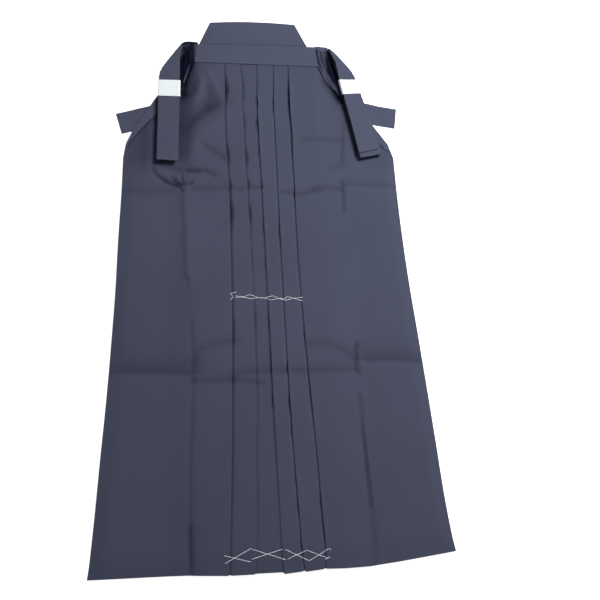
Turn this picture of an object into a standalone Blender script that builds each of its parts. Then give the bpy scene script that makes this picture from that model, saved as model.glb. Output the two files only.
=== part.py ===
"""Hakama trousers laid flat, front side up, with the front ties folded up in paper bands.

Run with: blender --background --python part.py

x runs across the garment from its centre line, with the wearer's right at -X. y is the height above
the hem's line, and z the height above the surface that the garment lies on. The finished part is moved so
that its origin lies under the middle of it. Everything is in metres.

Each piece of cloth is a wall round a path of mid points. A front or back width takes its path across
the garment, folded into pleats, once for each height in STATIONS, and a tie takes it along its length.
"""

from collections import namedtuple
from math import copysign, cos, pi, sin

import bmesh
import bpy
from mathutils import Vector

# ---- Driving sizes ----

LENGTH = 1.079  # the hem's line to the top edge of the back board
CLOTH = 0.001  # wall of one layer of the panels
GAP = 0.0003  # between layers, and between pieces at a seam
LAYER = CLOTH + GAP
TIE_WALL = 0.0012
TIE_LAYER = TIE_WALL + GAP
BACK_TIE_WIDTH = 0.0455
PAPER = 0.0006
BOARD_THICKNESS = 0.0062
BOARD_EDGE = 0.0015  # rounding of the board's upper edges
WAIST = 1.0  # where the back widths meet the back board
SEAM_TOP = 0.77  # top of the side seams, where the side openings begin
PANEL_TOP = 1.018  # upper ends of the front widths, inside the band

FRONT_PLEAT_DEPTH = 0.58  # of the distance to the next pleat
BACK_PLEAT_DEPTH = 0.112
PLEAT_RISE_GAP = 0.002  # a strip lies flat this far past its neighbour's pleat, then rises
LEG_PARTING = 0.35  # of the depth of the centre pleat, where the two legs part under it
PLEAT_HEM_DROP = 0.001  # the layer that shows ends this much lower at the hem than the one below

TIE_RUNS = 7  # lengths of a front tie that lie on each other
TIE_LOOP = 0.0028  # radius of the open loop at the top of the uppermost length
TIE_STIFFNESS = 0.008  # at its turn a tie clears what lies this far nearer the centre
PAPER_ROOM = PAPER + GAP  # left above the first length of a tie, for the paper band to pass
BAND_LAP = 0.006  # the band's rear wall ends this much above its front wall

FOLD_STEPS = 4  # chords in a folded edge
LOOP_STEPS = 6  # and in the open loop of a front tie
INNER_STEPS = 3  # chords across the plain part of an inner front width
OUTER_STEPS = 6  # and across an outer one
BACK_OUTER_STEPS = 2
BAND_STEPS = 8
TIE_STEPS = 4
EDGE_STEPS = 3  # facets in the rounding of the board's edges

BACK_PLEATS = 3 * LAYER  # height of the back widths where they are pleated
CROSSED_TIES = 2 * TIE_LAYER  # the two back ties that cross between the back and the front

# ---- Tables ----

# The side edges of the front widths: side seams up to SEAM_TOP, then the slanting side openings.
Outline = namedtuple("Outline", "y right left")
OUTLINE = [
    Outline(0.00, -0.3145, 0.3145),
    Outline(0.03, -0.3115, 0.3110),
    Outline(0.10, -0.3050, 0.3020),
    Outline(0.20, -0.2970, 0.2955),
    Outline(0.30, -0.2885, 0.2895),
    Outline(0.40, -0.2815, 0.2835),
    Outline(0.50, -0.2755, 0.2770),
    Outline(0.60, -0.2715, 0.2730),
    Outline(0.70, -0.2665, 0.2710),
    Outline(SEAM_TOP, -0.2640, 0.2715),
    Outline(0.80, -0.2590, 0.2625),
    Outline(0.83, -0.2450, 0.2450),
    Outline(0.88, -0.2145, 0.2150),
    Outline(0.93, -0.1830, 0.1840),
    Outline(0.975, -0.1575, 0.1580),
    Outline(PANEL_TOP, -0.1240, 0.1290),
]

# The front hem rises toward its corners and drops at the third and fourth pleats.
Hem = namedtuple("Hem", "x y")
FRONT_HEM = [
    Hem(-0.3145, 0.0104),
    Hem(-0.2130, 0.0079),
    Hem(-0.1540, 0.0062),
    Hem(-0.0850, 0.0024),
    Hem(0.0080, 0.0015),
    Hem(0.0100, -0.0023),
    Hem(0.0440, -0.0004),
    Hem(0.0460, -0.0021),
    Hem(0.0800, 0.0002),
    Hem(0.1130, -0.0014),
    Hem(0.1580, -0.0018),
    Hem(0.2120, 0.0021),
    Hem(0.3145, 0.0121),
]
BACK_HEM = [Hem(-0.3145, 0.0110), Hem(0.0000, 0.0040), Hem(0.3145, 0.0125)]

# The folded edges of the five front pleats, from the wearer's right to left. The first two lap
# toward the wearer's left and the other three toward the right, so all of them face the middle.
Pleats = namedtuple("Pleats", "y first second third fourth fifth")
PLEATS = [
    Pleats(0.00, -0.0840, -0.0400, 0.0085, 0.0450, 0.0810),
    Pleats(0.03, -0.0820, -0.0375, 0.0070, 0.0420, 0.0820),
    Pleats(0.10, -0.0777, -0.0337, 0.0065, 0.0394, 0.0798),
    Pleats(0.20, -0.0725, -0.0295, 0.0057, 0.0365, 0.0775),
    Pleats(0.30, -0.0685, -0.0250, 0.0047, 0.0349, 0.0735),
    Pleats(0.40, -0.0650, -0.0240, 0.0050, 0.0344, 0.0697),
    Pleats(0.50, -0.0630, -0.0240, 0.0045, 0.0340, 0.0675),
    Pleats(0.60, -0.0615, -0.0240, 0.0038, 0.0340, 0.0663),
    Pleats(0.70, -0.0610, -0.0255, 0.0038, 0.0353, 0.0680),
    Pleats(0.80, -0.0603, -0.0265, 0.0040, 0.0378, 0.0720),
    Pleats(0.93, -0.0615, -0.0280, 0.0050, 0.0400, 0.0725),
    Pleats(PANEL_TOP, -0.0635, -0.0290, 0.0068, 0.0425, 0.0723),
]

# The seams that join the inner and outer front widths.
Seams = namedtuple("Seams", "y right left")
SEAMS = [
    Seams(0.00, -0.1480, 0.1725),
    Seams(0.10, -0.1460, 0.1715),
    Seams(0.30, -0.1415, 0.1650),
    Seams(0.40, -0.1415, 0.1615),
    Seams(0.70, -0.1425, 0.1610),
    Seams(0.80, -0.1420, 0.1680),
    Seams(0.88, -0.1400, 0.1680),
    Seams(0.93, -0.1370, 0.1560),
    Seams(PANEL_TOP, -0.1250, 0.1270),
]

# The height of what the front widths lie on, beside the back pleats and over them. From 0.83 up
# the crossed back ties lie between, and from 0.975 the band's rear wall.
Bed = namedtuple("Bed", "y side middle")
BED = [
    Bed(0.00, LAYER, BACK_PLEATS),
    Bed(SEAM_TOP, LAYER, BACK_PLEATS),
    Bed(0.83, LAYER + CROSSED_TIES, BACK_PLEATS + CROSSED_TIES),
    Bed(0.93, LAYER + CROSSED_TIES, BACK_PLEATS + CROSSED_TIES),
    Bed(0.975, LAYER + CROSSED_TIES, BACK_PLEATS + CROSSED_TIES + LAYER),
    Bed(PANEL_TOP, LAYER + CROSSED_TIES, BACK_PLEATS + CROSSED_TIES + LAYER),
]

# How far from the centre the front widths begin and end their fall from the pleats to the sides.
Fall = namedtuple("Fall", "y start end")
FALL = [
    Fall(0.00, 0.114, 0.190),
    Fall(0.70, 0.114, 0.190),
    Fall(0.83, 0.114, 0.160),
    Fall(0.93, 0.118, 0.157),
    Fall(0.975, 0.125, 0.156),
    Fall(PANEL_TOP, 0.125, 0.151),
]

HEM_LOWEST = min(row.y for row in FRONT_HEM) - PLEAT_HEM_DROP
MIDDLE = (LENGTH + HEM_LOWEST) / 2  # height of the middle of the finished part
STATIONS = sorted({row.y for table in (OUTLINE, PLEATS, SEAMS, BED, FALL) for row in table})

# The back widths: the places of their seams, and half their breadth where they meet the back board.
BACK_STATIONS = [row.y for row in OUTLINE if row.y <= SEAM_TOP] + [WAIST - GAP]
BACK_SEAM = 0.15
BACK_WAIST_SEAM = 0.118
BACK_WAIST_HALF = 0.124

# The front band, at its wearer's right and left ends.
BandEnd = namedtuple("BandEnd", "x_lower x_upper y_lower y_upper")
BAND_RIGHT = BandEnd(-0.1234, -0.1234, 0.9798, 1.0238)
BAND_LEFT = BandEnd(0.1331, 0.1299, 0.9754, 1.0235)
BAND_REAR = BACK_PLEATS + CROSSED_TIES + CLOTH / 2  # mid height of the band's rear wall
BAND_FRONT = BAND_REAR + 4 * LAYER  # and of its front wall, over three layers of pleats

# The back board, a trapezoid: its lower edge is at WAIST and its upper edge at LENGTH.
Board = namedtuple("Board", "right left")
BOARD_LOWER = Board(-0.1250, 0.1215)
BOARD_UPPER = Board(-0.0906, 0.0880)

# The side folds lie on the slanting edges of the front. Each row gives where their inner edge is.
SideFold = namedtuple("SideFold", "y right left")
SIDE_FOLDS = [
    SideFold(0.785, -0.2590, 0.2640),
    SideFold(0.800, -0.2540, 0.2490),
    SideFold(0.830, -0.2300, 0.2200),
    SideFold(0.880, -0.1860, 0.1890),
    SideFold(0.930, -0.1640, 0.1650),
]
SIDE_FOLD_INSET = 0.0006
SIDE_FOLD_STEPS = 2

# The back ties run straight from the board's ends, cross, and show past the opposite sides. The
# wearer's left tie lies under the right one. Each row gives the mid height of the tie at one x.
TieHeight = namedtuple("TieHeight", "x z")
SIDE_LAYER_Z = LAYER + TIE_WALL / 2
PLEAT_LAYER_Z = BACK_PLEATS + TIE_WALL / 2
BACK_TIE_LEFT = [
    TieHeight(-0.2734, TIE_WALL / 2),
    TieHeight(-0.2480, TIE_WALL / 2),
    TieHeight(-0.2290, SIDE_LAYER_Z),
    TieHeight(-0.1450, SIDE_LAYER_Z),
    TieHeight(-0.1250, PLEAT_LAYER_Z),
    TieHeight(0.0830, PLEAT_LAYER_Z),
]
BACK_TIE_RIGHT = [
    TieHeight(0.2847, TIE_WALL / 2),
    TieHeight(0.2500, TIE_WALL / 2),
    TieHeight(0.2290, SIDE_LAYER_Z + TIE_LAYER),
    TieHeight(0.1450, SIDE_LAYER_Z + TIE_LAYER),
    TieHeight(0.1250, PLEAT_LAYER_Z + TIE_LAYER),
    TieHeight(-0.0830, PLEAT_LAYER_Z + TIE_LAYER),
]
BACK_TIE_LEFT_Y = (0.8448, 0.9400)  # at its shown end and at its sewn end
BACK_TIE_RIGHT_Y = (0.8620, 0.9260)

# The height of what the folded front ties lie on.
TieBed = namedtuple("TieBed", "y z")
TIE_BED = [
    TieBed(0.750, 0.0039),
    TieBed(0.830, 0.0072),
    TieBed(0.950, 0.0087),
    TieBed(1.030, 0.0087),
]

# Where the edges of each front tie run, as (x, y): the inner edge is the one nearer the centre.
# It leaves the band's end, bends down through the turn to the neck, and lies there in lengths
# between the neck and the foot. Its uppermost length goes on from the neck to the loop.
TieEdge = namedtuple("TieEdge", "band turn first_neck neck foot top_foot")
TIE_RIGHT_INNER = TieEdge(
    band=(-0.1242, 0.9800),
    turn=(-0.1270, 0.9560),
    first_neck=(-0.1500, 0.9130),
    neck=(-0.1527, 0.9400),
    foot=(-0.1585, 0.7620),
    top_foot=(-0.1583, 0.7573),
)
TIE_RIGHT_OUTER = TieEdge(
    band=(-0.1242, 1.0230),
    turn=(-0.1780, 1.0420),
    first_neck=(-0.1930, 0.9130),
    neck=(-0.1938, 0.9400),
    foot=(-0.1990, 0.7650),
    top_foot=(-0.1994, 0.7604),
)
TIE_LEFT_INNER = TieEdge(
    band=(0.1339, 0.9760),
    turn=(0.1340, 0.9300),
    first_neck=(0.1775, 0.8830),
    neck=(0.1716, 0.9475),
    foot=(0.2037, 0.7660),
    top_foot=(0.2013, 0.7755),
)
TIE_LEFT_OUTER = TieEdge(
    band=(0.1309, 1.0210),
    turn=(0.1700, 1.0250),
    first_neck=(0.2150, 0.8900),
    neck=(0.2040, 0.9475),
    foot=(0.2490, 0.7750),
    top_foot=(0.2425, 0.7847),
)
TIE_RIGHT = (TIE_RIGHT_INNER, TIE_RIGHT_OUTER)
TIE_LEFT = (TIE_LEFT_INNER, TIE_LEFT_OUTER)
TURN_SHARES = (0.0, 0.1, 0.25, 0.4, 0.6, 0.8, 1.0)  # of the way down the turn, a row of points at each

# The top edge of each loop, from near the band to the outer side, one point for each tie column.
LOOP_RIGHT = [(-0.1514, 1.0205), (-0.1585, 1.0120), (-0.1677, 0.9965), (-0.1798, 0.9778), (-0.1907, 0.9591)]
LOOP_LEFT = [(0.1530, 1.0125), (0.1640, 1.0030), (0.1776, 0.9885), (0.1892, 0.9745), (0.1990, 0.9610)]
LOOP_HEIGHT = 0.0192  # mid height of the uppermost length at its loop
TIE_TOP_FOLDS = (0.93, 0.90)  # of the way from foot to neck, where hidden lengths turn
TIE_KNEE = 0.38  # of the way from foot to neck, where the lengths bend over what lies under them
TIE_FOOT_STEP = 0.003  # each hidden turn at the foot ends this much higher than the one over it

# The heights of the paper bands' edges.
PAPER_BAND_RIGHT = (0.8965, 0.9325)
PAPER_BAND_LEFT = (0.9070, 0.9405)

# ---- Materials: base colour as linear red, green and blue, and roughness ----

NAVY_CLOTH = ("navy_cloth", (0.055, 0.065, 0.115), 0.62)
WHITE_PAPER = ("white_paper", (0.82, 0.90, 0.92), 0.70)


# ---- Tables and heights ----


def at(table, column, position, key="y"):
    """A table's column at a position, read along straight lines between its rows."""
    for low, high in zip(table, table[1:]):
        start, end = getattr(low, key), getattr(high, key)
        if position <= end or high is table[-1]:
            share = min(max((position - start) / (end - start), 0.0), 1.0)
            return getattr(low, column) * (1 - share) + getattr(high, column) * share


def between(first, second, share):
    """The point that is that share of the way from the first to the second."""
    return tuple(a + (b - a) * share for a, b in zip(first, second))


def ease(share):
    """0 to 1 with a soft start and end."""
    share = min(max(share, 0.0), 1.0)
    return share * share * (3 - 2 * share)


def layer_height(y, level):
    """Mid height of a pleat's layer: 0 is the lowest, 2 the one that shows."""
    return at(BED, "middle", y) + CLOTH / 2 + level * LAYER


def panel_height(x, y):
    """Mid height of the front between its pleats and its side edges."""
    side = at(BED, "side", y) + CLOTH / 2
    start, end = at(FALL, "start", y), at(FALL, "end", y)
    return side + (layer_height(y, 2) - side) * ease((end - abs(x)) / (end - start))


# ---- Paths ----


def folded_edge(x, z_from, z_to, facing):
    """Mid points round a fold whose edge is at x and faces +x (1) or -x (-1)."""
    radius = abs(z_to - z_from) / 2
    centre = x - facing * (radius + CLOTH / 2)
    turn = 1 if z_to > z_from else -1
    angles = [turn * (-pi / 2 + pi * step / FOLD_STEPS) for step in range(FOLD_STEPS + 1)]
    return [(centre + facing * radius * cos(a), (z_from + z_to) / 2 + radius * sin(a)) for a in angles]


def panel_run(x_from, x_to, y, steps):
    """Mid points of a plain stretch of the front."""
    xs = [x_from + (x_to - x_from) * step / steps for step in range(steps + 1)]
    return [(x, panel_height(x, y)) for x in xs]


def front_paths(y):
    """Mid points (x, z) of the four front widths at one height, from the wearer's right to left."""
    folds = [at(PLEATS, name, y) for name in Pleats._fields[1:]]
    spacings = [folds[b] - folds[a] for a, b in ((0, 1), (0, 1), (2, 3), (3, 4), (3, 4))]
    depths = [FRONT_PLEAT_DEPTH * spacing for spacing in spacings]
    low, middle, high = (layer_height(y, level) for level in range(3))
    outline_right, outline_left = at(OUTLINE, "right", y), at(OUTLINE, "left", y)
    seam_right, seam_left = at(SEAMS, "right", y), at(SEAMS, "left", y)
    start = at(FALL, "start", y)
    parting = folds[2] + LEG_PARTING * depths[2]

    outer_right = panel_run(outline_right, seam_right - GAP / 2, y, OUTER_STEPS)
    inner_right = panel_run(seam_right + GAP / 2, -start, y, INNER_STEPS)
    for edge, depth in zip(folds[:2], depths[:2]):
        inner_right += folded_edge(edge, high, middle, 1)
        inner_right += folded_edge(edge - depth, middle, low, -1)
        if edge == folds[0]:
            rise_end = folds[1] - depths[1] - PLEAT_RISE_GAP
            inner_right += [(edge + PLEAT_RISE_GAP, low), (rise_end, high)]
    inner_right.append((parting - GAP / 2, low))

    inner_left = [(parting + GAP / 2, low)]
    for number in (2, 3, 4):
        edge, depth = folds[number], depths[number]
        inner_left += folded_edge(edge + depth, low, middle, 1)
        inner_left += folded_edge(edge, middle, high, -1)
        if number < 4:
            fall_start = edge + depth + PLEAT_RISE_GAP
            inner_left += [(fall_start, high), (folds[number + 1] - PLEAT_RISE_GAP, low)]
    inner_left += panel_run(start, seam_left - GAP / 2, y, INNER_STEPS)
    outer_left = panel_run(seam_left + GAP / 2, outline_left, y, OUTER_STEPS)
    return {
        "front_outer_right": outer_right,
        "front_inner_right": inner_right,
        "front_inner_left": inner_left,
        "front_outer_left": outer_left,
    }


def back_paths(y):
    """Mid points (x, z) of the four back widths at one height."""
    rise = max((y - SEAM_TOP) / (WAIST - SEAM_TOP), 0.0)
    half = [abs(at(OUTLINE, side, min(y, SEAM_TOP))) for side in ("right", "left")]
    half = [edge + (BACK_WAIST_HALF - edge) * rise for edge in half]
    seam = BACK_SEAM + (BACK_WAIST_SEAM - BACK_SEAM) * rise
    low, middle, high = (CLOTH / 2 + level * LAYER for level in range(3))
    paths = {}
    for side, sign, edge in (("right", -1, half[0]), ("left", 1, half[1])):
        seam_edge = seam + GAP / 2
        shares = [step / BACK_OUTER_STEPS for step in range(BACK_OUTER_STEPS + 1)]
        outer = [(sign * (edge + (seam_edge - edge) * share), low) for share in shares]
        inner = [(sign * (seam - GAP / 2), low)]
        inner += folded_edge(sign * GAP / 2, low, middle, -sign)
        inner += folded_edge(sign * BACK_PLEAT_DEPTH, middle, high, sign)
        inner.append((sign * GAP / 2, high))
        paths["back_outer_" + side] = outer
        paths["back_inner_" + side] = inner
    return paths


def front_height(x, y):
    """Mid height of the front's highest layer over a point, or None beside the garment."""
    highest = None
    for path in front_paths(y).values():
        for (x_a, z_a), (x_b, z_b) in zip(path, path[1:]):
            if min(x_a, x_b) <= x <= max(x_a, x_b) and abs(x_b - x_a) > 1e-9:
                z = z_a + (z_b - z_a) * (x - x_a) / (x_b - x_a)
                highest = z if highest is None else max(highest, z)
    return highest


# ---- Solids ----


def make_material(spec):
    name, colour, roughness = spec
    material = bpy.data.materials.new(name)
    material.use_nodes = True
    shader = material.node_tree.nodes["Principled BSDF"]
    shader.inputs["Base Color"].default_value = (*colour, 1.0)
    shader.inputs["Roughness"].default_value = roughness
    material.diffuse_color = (*colour, 1.0)
    return material


def add_object(name, mesh_source, material):
    """Turn a bmesh into a named object, moved so that the garment's middle is over the origin."""
    bmesh.ops.recalc_face_normals(mesh_source, faces=mesh_source.faces)
    if mesh_source.calc_volume(signed=True) < 0:
        bmesh.ops.reverse_faces(mesh_source, faces=mesh_source.faces)
    bmesh.ops.translate(mesh_source, verts=mesh_source.verts, vec=Vector((0.0, -MIDDLE, 0.0)))
    mesh = bpy.data.meshes.new(name)
    mesh_source.to_mesh(mesh)
    mesh_source.free()
    mesh.materials.append(material)
    piece = bpy.data.objects.new(name, mesh)
    bpy.context.scene.collection.objects.link(piece)
    return piece


def wall_sides(path, wall, closed):
    """Points half a wall to each side of rows of mid points, squared up where the path bends."""
    count, sides = len(path), ([], [])
    for i, row in enumerate(path):
        before = path[i - 1] if i or closed else None
        after = path[(i + 1) % count] if i + 1 < count or closed else None
        outer, inner = [], []
        for j, point in enumerate(row):
            across = row[min(j + 1, len(row) - 1)] - row[max(j - 1, 0)]
            normals = []
            if before is not None:
                normals.append(across.cross(point - before[j]).normalized())
            if after is not None:
                normals.append(across.cross(after[j] - point).normalized())
            normal = sum(normals, Vector()).normalized()
            reach = wall / 2 / max(normal.dot(normals[0]), 0.5)
            outer.append(point + normal * reach)
            inner.append(point - normal * reach)
        sides[0].append(outer)
        sides[1].append(inner)
    return sides


def add_cloth(name, path, wall, material, closed=False):
    """A solid wall of cloth. path holds rows of mid points, and the points of a row lie across it."""
    work = bmesh.new()
    sides = wall_sides(path, wall, closed)
    outer, inner = ([[work.verts.new(point) for point in row] for row in side] for side in sides)
    rows, columns = len(path), len(path[0])
    steps = [(i, (i + 1) % rows) for i in range(rows if closed else rows - 1)]
    for i, k in steps:
        for j in range(columns - 1):
            work.faces.new((outer[i][j], outer[i][j + 1], outer[k][j + 1], outer[k][j]))
            work.faces.new((inner[i][j], inner[k][j], inner[k][j + 1], inner[i][j + 1]))
        for j in (0, columns - 1):
            work.faces.new((outer[i][j], outer[k][j], inner[k][j], inner[i][j]))
    if not closed:
        for i in (0, rows - 1):
            for j in range(columns - 1):
                work.faces.new((outer[i][j], inner[i][j], inner[i][j + 1], outer[i][j + 1]))
    return add_object(name, work, material)


def front_hem(x, z):
    """Height of the front's hem. The layer that shows ends lowest."""
    share = (z - layer_height(0.0, 0)) / (2 * LAYER)
    return at(FRONT_HEM, "y", x, key="x") - PLEAT_HEM_DROP * min(max(share, 0.0), 1.0)


def back_hem(x, z):
    return at(BACK_HEM, "y", x, key="x")


def add_widths(paths_at, stations, hem_at, material):
    """The cloth widths whose paths a function gives for each height, from the hem up."""
    by_station = [paths_at(y) for y in stations]
    for name in by_station[0]:
        rows = []
        for i in range(len(by_station[0][name])):
            row = []
            for y, paths in zip(stations, by_station):
                x, z = paths[name][i]
                row.append(Vector((x, y if y else hem_at(x, z), z)))
            rows.append(row)
        add_cloth(name, rows, CLOTH, material)


def add_front_band(material):
    """The waistband: a strip folded over the upper ends of the front widths."""
    radius = (BAND_FRONT - BAND_REAR) / 2
    columns = []
    for step in range(BAND_STEPS + 1):
        x_lower, x_upper, y_lower, y_upper = between(BAND_RIGHT, BAND_LEFT, step / BAND_STEPS)
        column = [Vector((x_lower, y_lower + BAND_LAP, BAND_REAR))]
        for fold_step in range(FOLD_STEPS + 1):
            angle = -pi / 2 + pi * fold_step / FOLD_STEPS
            y = y_upper - CLOTH / 2 - radius + radius * cos(angle)
            column.append(Vector((x_upper, y, (BAND_REAR + BAND_FRONT) / 2 + radius * sin(angle))))
        column.append(Vector((x_lower, y_lower, BAND_FRONT)))
        columns.append(column)
    add_cloth("front_band", [list(row) for row in zip(*columns)], CLOTH, material)


def add_back_board(material):
    """The stiff cloth-covered board at the back of the waist."""
    work = bmesh.new()
    lower = [(BOARD_LOWER.right, WAIST), (BOARD_LOWER.left, WAIST)]
    upper = [(BOARD_UPPER.left, LENGTH), (BOARD_UPPER.right, LENGTH)]
    face = work.faces.new([work.verts.new((x, y, 0.0)) for x, y in lower + upper])
    lifted = bmesh.ops.extrude_face_region(work, geom=[face])["geom"]
    raised = [item for item in lifted if isinstance(item, bmesh.types.BMVert)]
    bmesh.ops.translate(work, verts=raised, vec=Vector((0.0, 0.0, BOARD_THICKNESS)))
    rim = [edge for edge in work.edges if all(corner in raised for corner in edge.verts)]
    bmesh.ops.bevel(work, geom=rim, offset=BOARD_EDGE, segments=EDGE_STEPS, profile=0.5, affect="EDGES")
    add_object("back_board", work, material)


def add_side_fold(name, side, material):
    """A leaf-shaped fold that lies on the front along one slanting side opening."""
    sign = -1 if side == "right" else 1
    rows = []
    for step in range(SIDE_FOLD_STEPS + 1):
        row = []
        for fold in SIDE_FOLDS:
            outer, inner = at(OUTLINE, side, fold.y) - sign * SIDE_FOLD_INSET, getattr(fold, side)
            x = outer + (inner - outer) * step / SIDE_FOLD_STEPS
            row.append(Vector((x, fold.y, front_height(x, fold.y) + LAYER)))
        rows.append(row)
    add_cloth(name, rows, CLOTH, material)


def add_back_tie(name, heights, ends_y, material):
    """A back tie: a flat strip that shows past the side of the garment at its free end."""
    first, last = heights[0], heights[-1]
    slope = (ends_y[1] - ends_y[0]) / (last.x - first.x)
    along = Vector((1.0, slope, 0.0)).normalized()
    across = Vector((-along.y, along.x, 0.0)) * BACK_TIE_WIDTH / 2
    rows = []
    for x, z in heights:
        middle = Vector((x, ends_y[0] + slope * (x - first.x), z))
        rows.append([middle - across, middle, middle + across])
    add_cloth(name, rows, TIE_WALL, material)


# ---- Front ties ----


def tie_height(y, run):
    """Mid height of one length of a folded front tie."""
    room = PAPER_ROOM if run else 0.0
    return at(TIE_BED, "z", y) + TIE_WALL / 2 + run * TIE_LAYER + room


def across_tie(inner, outer):
    """The plan points of a row, from the tie's inner edge to its outer edge."""
    return [between(inner, outer, step / TIE_STEPS) for step in range(TIE_STEPS + 1)]


def bend(start, control, end, share):
    """A point on a curve that leaves start toward control and comes into end from it."""
    return between(between(start, control, share), between(control, end, share), share)


def tie_turn(inner, outer):
    """Rows from the band's end down to the first length, lying on the front."""
    rows = []
    for share in TURN_SHARES:
        ends = [bend(edge.band, edge.turn, edge.first_neck, share) for edge in (inner, outer)]
        row = []
        for x, y in across_tie(*ends):
            if share == TURN_SHARES[0]:
                z = BAND_FRONT + GAP
            elif share == TURN_SHARES[-1]:
                z = tie_height(y, 0)
            else:
                nearer = x - copysign(TIE_STIFFNESS, x)
                lies_on = [front_height(place, min(y, PANEL_TOP)) or 0.0 for place in (x, nearer)]
                z = max(tie_height(y, 0), max(lies_on) + CLOTH / 2 + TIE_WALL / 2 + GAP)
            row.append(Vector((x, y, z)))
        rows.append(row)
    return rows


def tie_fold(points, away, run_from, run_to):
    """Rows round a fold at the foot or top of the hidden lengths; away is +1 at the top."""
    rows = []
    for step in range(FOLD_STEPS + 1):
        angle = -pi / 2 + pi * step / FOLD_STEPS
        row = []
        for x, y in points:
            low, high = tie_height(y, run_from), tie_height(y, run_to)
            radius = (high - low) / 2
            shift = away * (radius * cos(angle) - radius - TIE_WALL / 2)
            row.append(Vector((x, y + shift, (low + high) / 2 + radius * sin(angle))))
        rows.append(row)
    return rows


def tie_loop(outline):
    """Rows round the open loop at the top of the uppermost length, from below to above."""
    points = [Vector((x, y, 0.0)) for x, y in outline]
    rows = []
    for step in range(LOOP_STEPS + 1):
        angle = -pi / 2 + pi * step / LOOP_STEPS
        row = []
        for j, point in enumerate(points):
            along = points[min(j + 1, len(points) - 1)] - points[max(j - 1, 0)]
            outward = Vector((-along.y, along.x, 0.0)).normalized()
            outward *= 1 if outward.y > 0 else -1
            inset = TIE_LOOP * cos(angle) - TIE_LOOP - TIE_WALL / 2
            height = LOOP_HEIGHT - TIE_LOOP + TIE_LOOP * sin(angle)
            row.append(point + outward * inset + Vector((0.0, 0.0, height)))
        rows.append(row)
    return rows


def flat_row(points, run):
    return [Vector((x, y, tie_height(y, run))) for x, y in points]


def add_front_tie(name, edges, loop, material):
    """A front tie, from the band's end through its folded-up lengths to its free end."""
    inner, outer = edges
    neck, foot = across_tie(inner.neck, outer.neck), across_tie(inner.foot, outer.foot)
    knee = [between(low, high, TIE_KNEE) for low, high in zip(foot, neck)]
    rows = tie_turn(inner, outer)
    for run in range(TIE_RUNS - 1):
        if run % 2 == 0:
            step = TIE_FOOT_STEP * (TIE_RUNS - 3 - run) / 2
            rows.append(flat_row(knee, run))
            rows += tie_fold([(x, y + step) for x, y in foot], -1, run, run + 1)
            rows.append(flat_row(knee, run + 1))
        elif run < TIE_RUNS - 2:
            share = TIE_TOP_FOLDS[run // 2 % 2]
            top = [between(low, high, share) for low, high in zip(foot, neck)]
            rows += tie_fold(top, 1, run, run + 1)
    rows.append(flat_row(neck, TIE_RUNS - 2))
    rows += tie_loop(loop)
    rows.append(flat_row(neck, TIE_RUNS - 1))
    rows.append(flat_row(knee, TIE_RUNS - 1))
    rows.append(flat_row(across_tie(inner.top_foot, outer.top_foot), TIE_RUNS - 1))
    add_cloth(name, rows, TIE_WALL, material)


def add_paper_band(name, edges, heights, material):
    """A strip of paper round the folded lengths of a front tie, all but the first."""
    inner, outer = edges
    reach = TIE_WALL / 2 + GAP + PAPER / 2
    foot_y, neck_y = inner.foot[1], inner.neck[1]
    chamfer = PAPER / 2
    columns = []
    for y in heights:
        share = (y - foot_y) / (neck_y - foot_y)
        near, far = (Vector((*between(edge.foot, edge.neck, share), 0.0)) for edge in (inner, outer))
        low, high = tie_height(y, 1) - reach, tie_height(y, TIE_RUNS - 1) + reach
        outward = (far - near).normalized()
        clear = outward * (2 * GAP + PAPER / 2)
        levels = [(low, chamfer), (low + chamfer, 0.0), (high - chamfer, 0.0), (high, chamfer)]
        near_side = [near - clear + outward * inset + Vector((0.0, 0.0, z)) for z, inset in levels]
        far_side = [far + clear - outward * inset + Vector((0.0, 0.0, z)) for z, inset in levels]
        columns.append(near_side[::-1] + far_side)
    add_cloth(name, [list(row) for row in zip(*columns)], PAPER, material, closed=True)


def main():
    for existing in list(bpy.data.objects):
        bpy.data.objects.remove(existing, do_unlink=True)
    cloth, paper = make_material(NAVY_CLOTH), make_material(WHITE_PAPER)
    add_widths(back_paths, BACK_STATIONS, back_hem, cloth)
    add_widths(front_paths, STATIONS, front_hem, cloth)
    add_side_fold("side_fold_right", "right", cloth)
    add_side_fold("side_fold_left", "left", cloth)
    add_front_band(cloth)
    add_back_board(cloth)
    add_back_tie("back_tie_left", BACK_TIE_LEFT, BACK_TIE_LEFT_Y, cloth)
    add_back_tie("back_tie_right", BACK_TIE_RIGHT, BACK_TIE_RIGHT_Y, cloth)
    add_front_tie("front_tie_right", TIE_RIGHT, LOOP_RIGHT, cloth)
    add_front_tie("front_tie_left", TIE_LEFT, LOOP_LEFT, cloth)
    add_paper_band("paper_band_right", TIE_RIGHT, PAPER_BAND_RIGHT, paper)
    add_paper_band("paper_band_left", TIE_LEFT, PAPER_BAND_LEFT, paper)


main()
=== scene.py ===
"""Hakama trousers laid flat, front side up, with the front ties folded up in paper bands.

x runs across the garment from its centre line, with the wearer's right at -X. y is the height above
the hem's line and z the height above the surface that it lies on, until add_piece moves a piece so
that its origin lies under the garment's middle, as the frame's does. Everything is in metres, apart
from the rows given to metres, crease and hollow, which are in millimetres.
"""

from collections import namedtuple
from math import cos, exp, hypot, pi, radians, sin

import bmesh
import bpy
import numpy as np
from mathutils import Euler, Matrix, Vector
from mathutils.bvhtree import BVHTree


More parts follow.
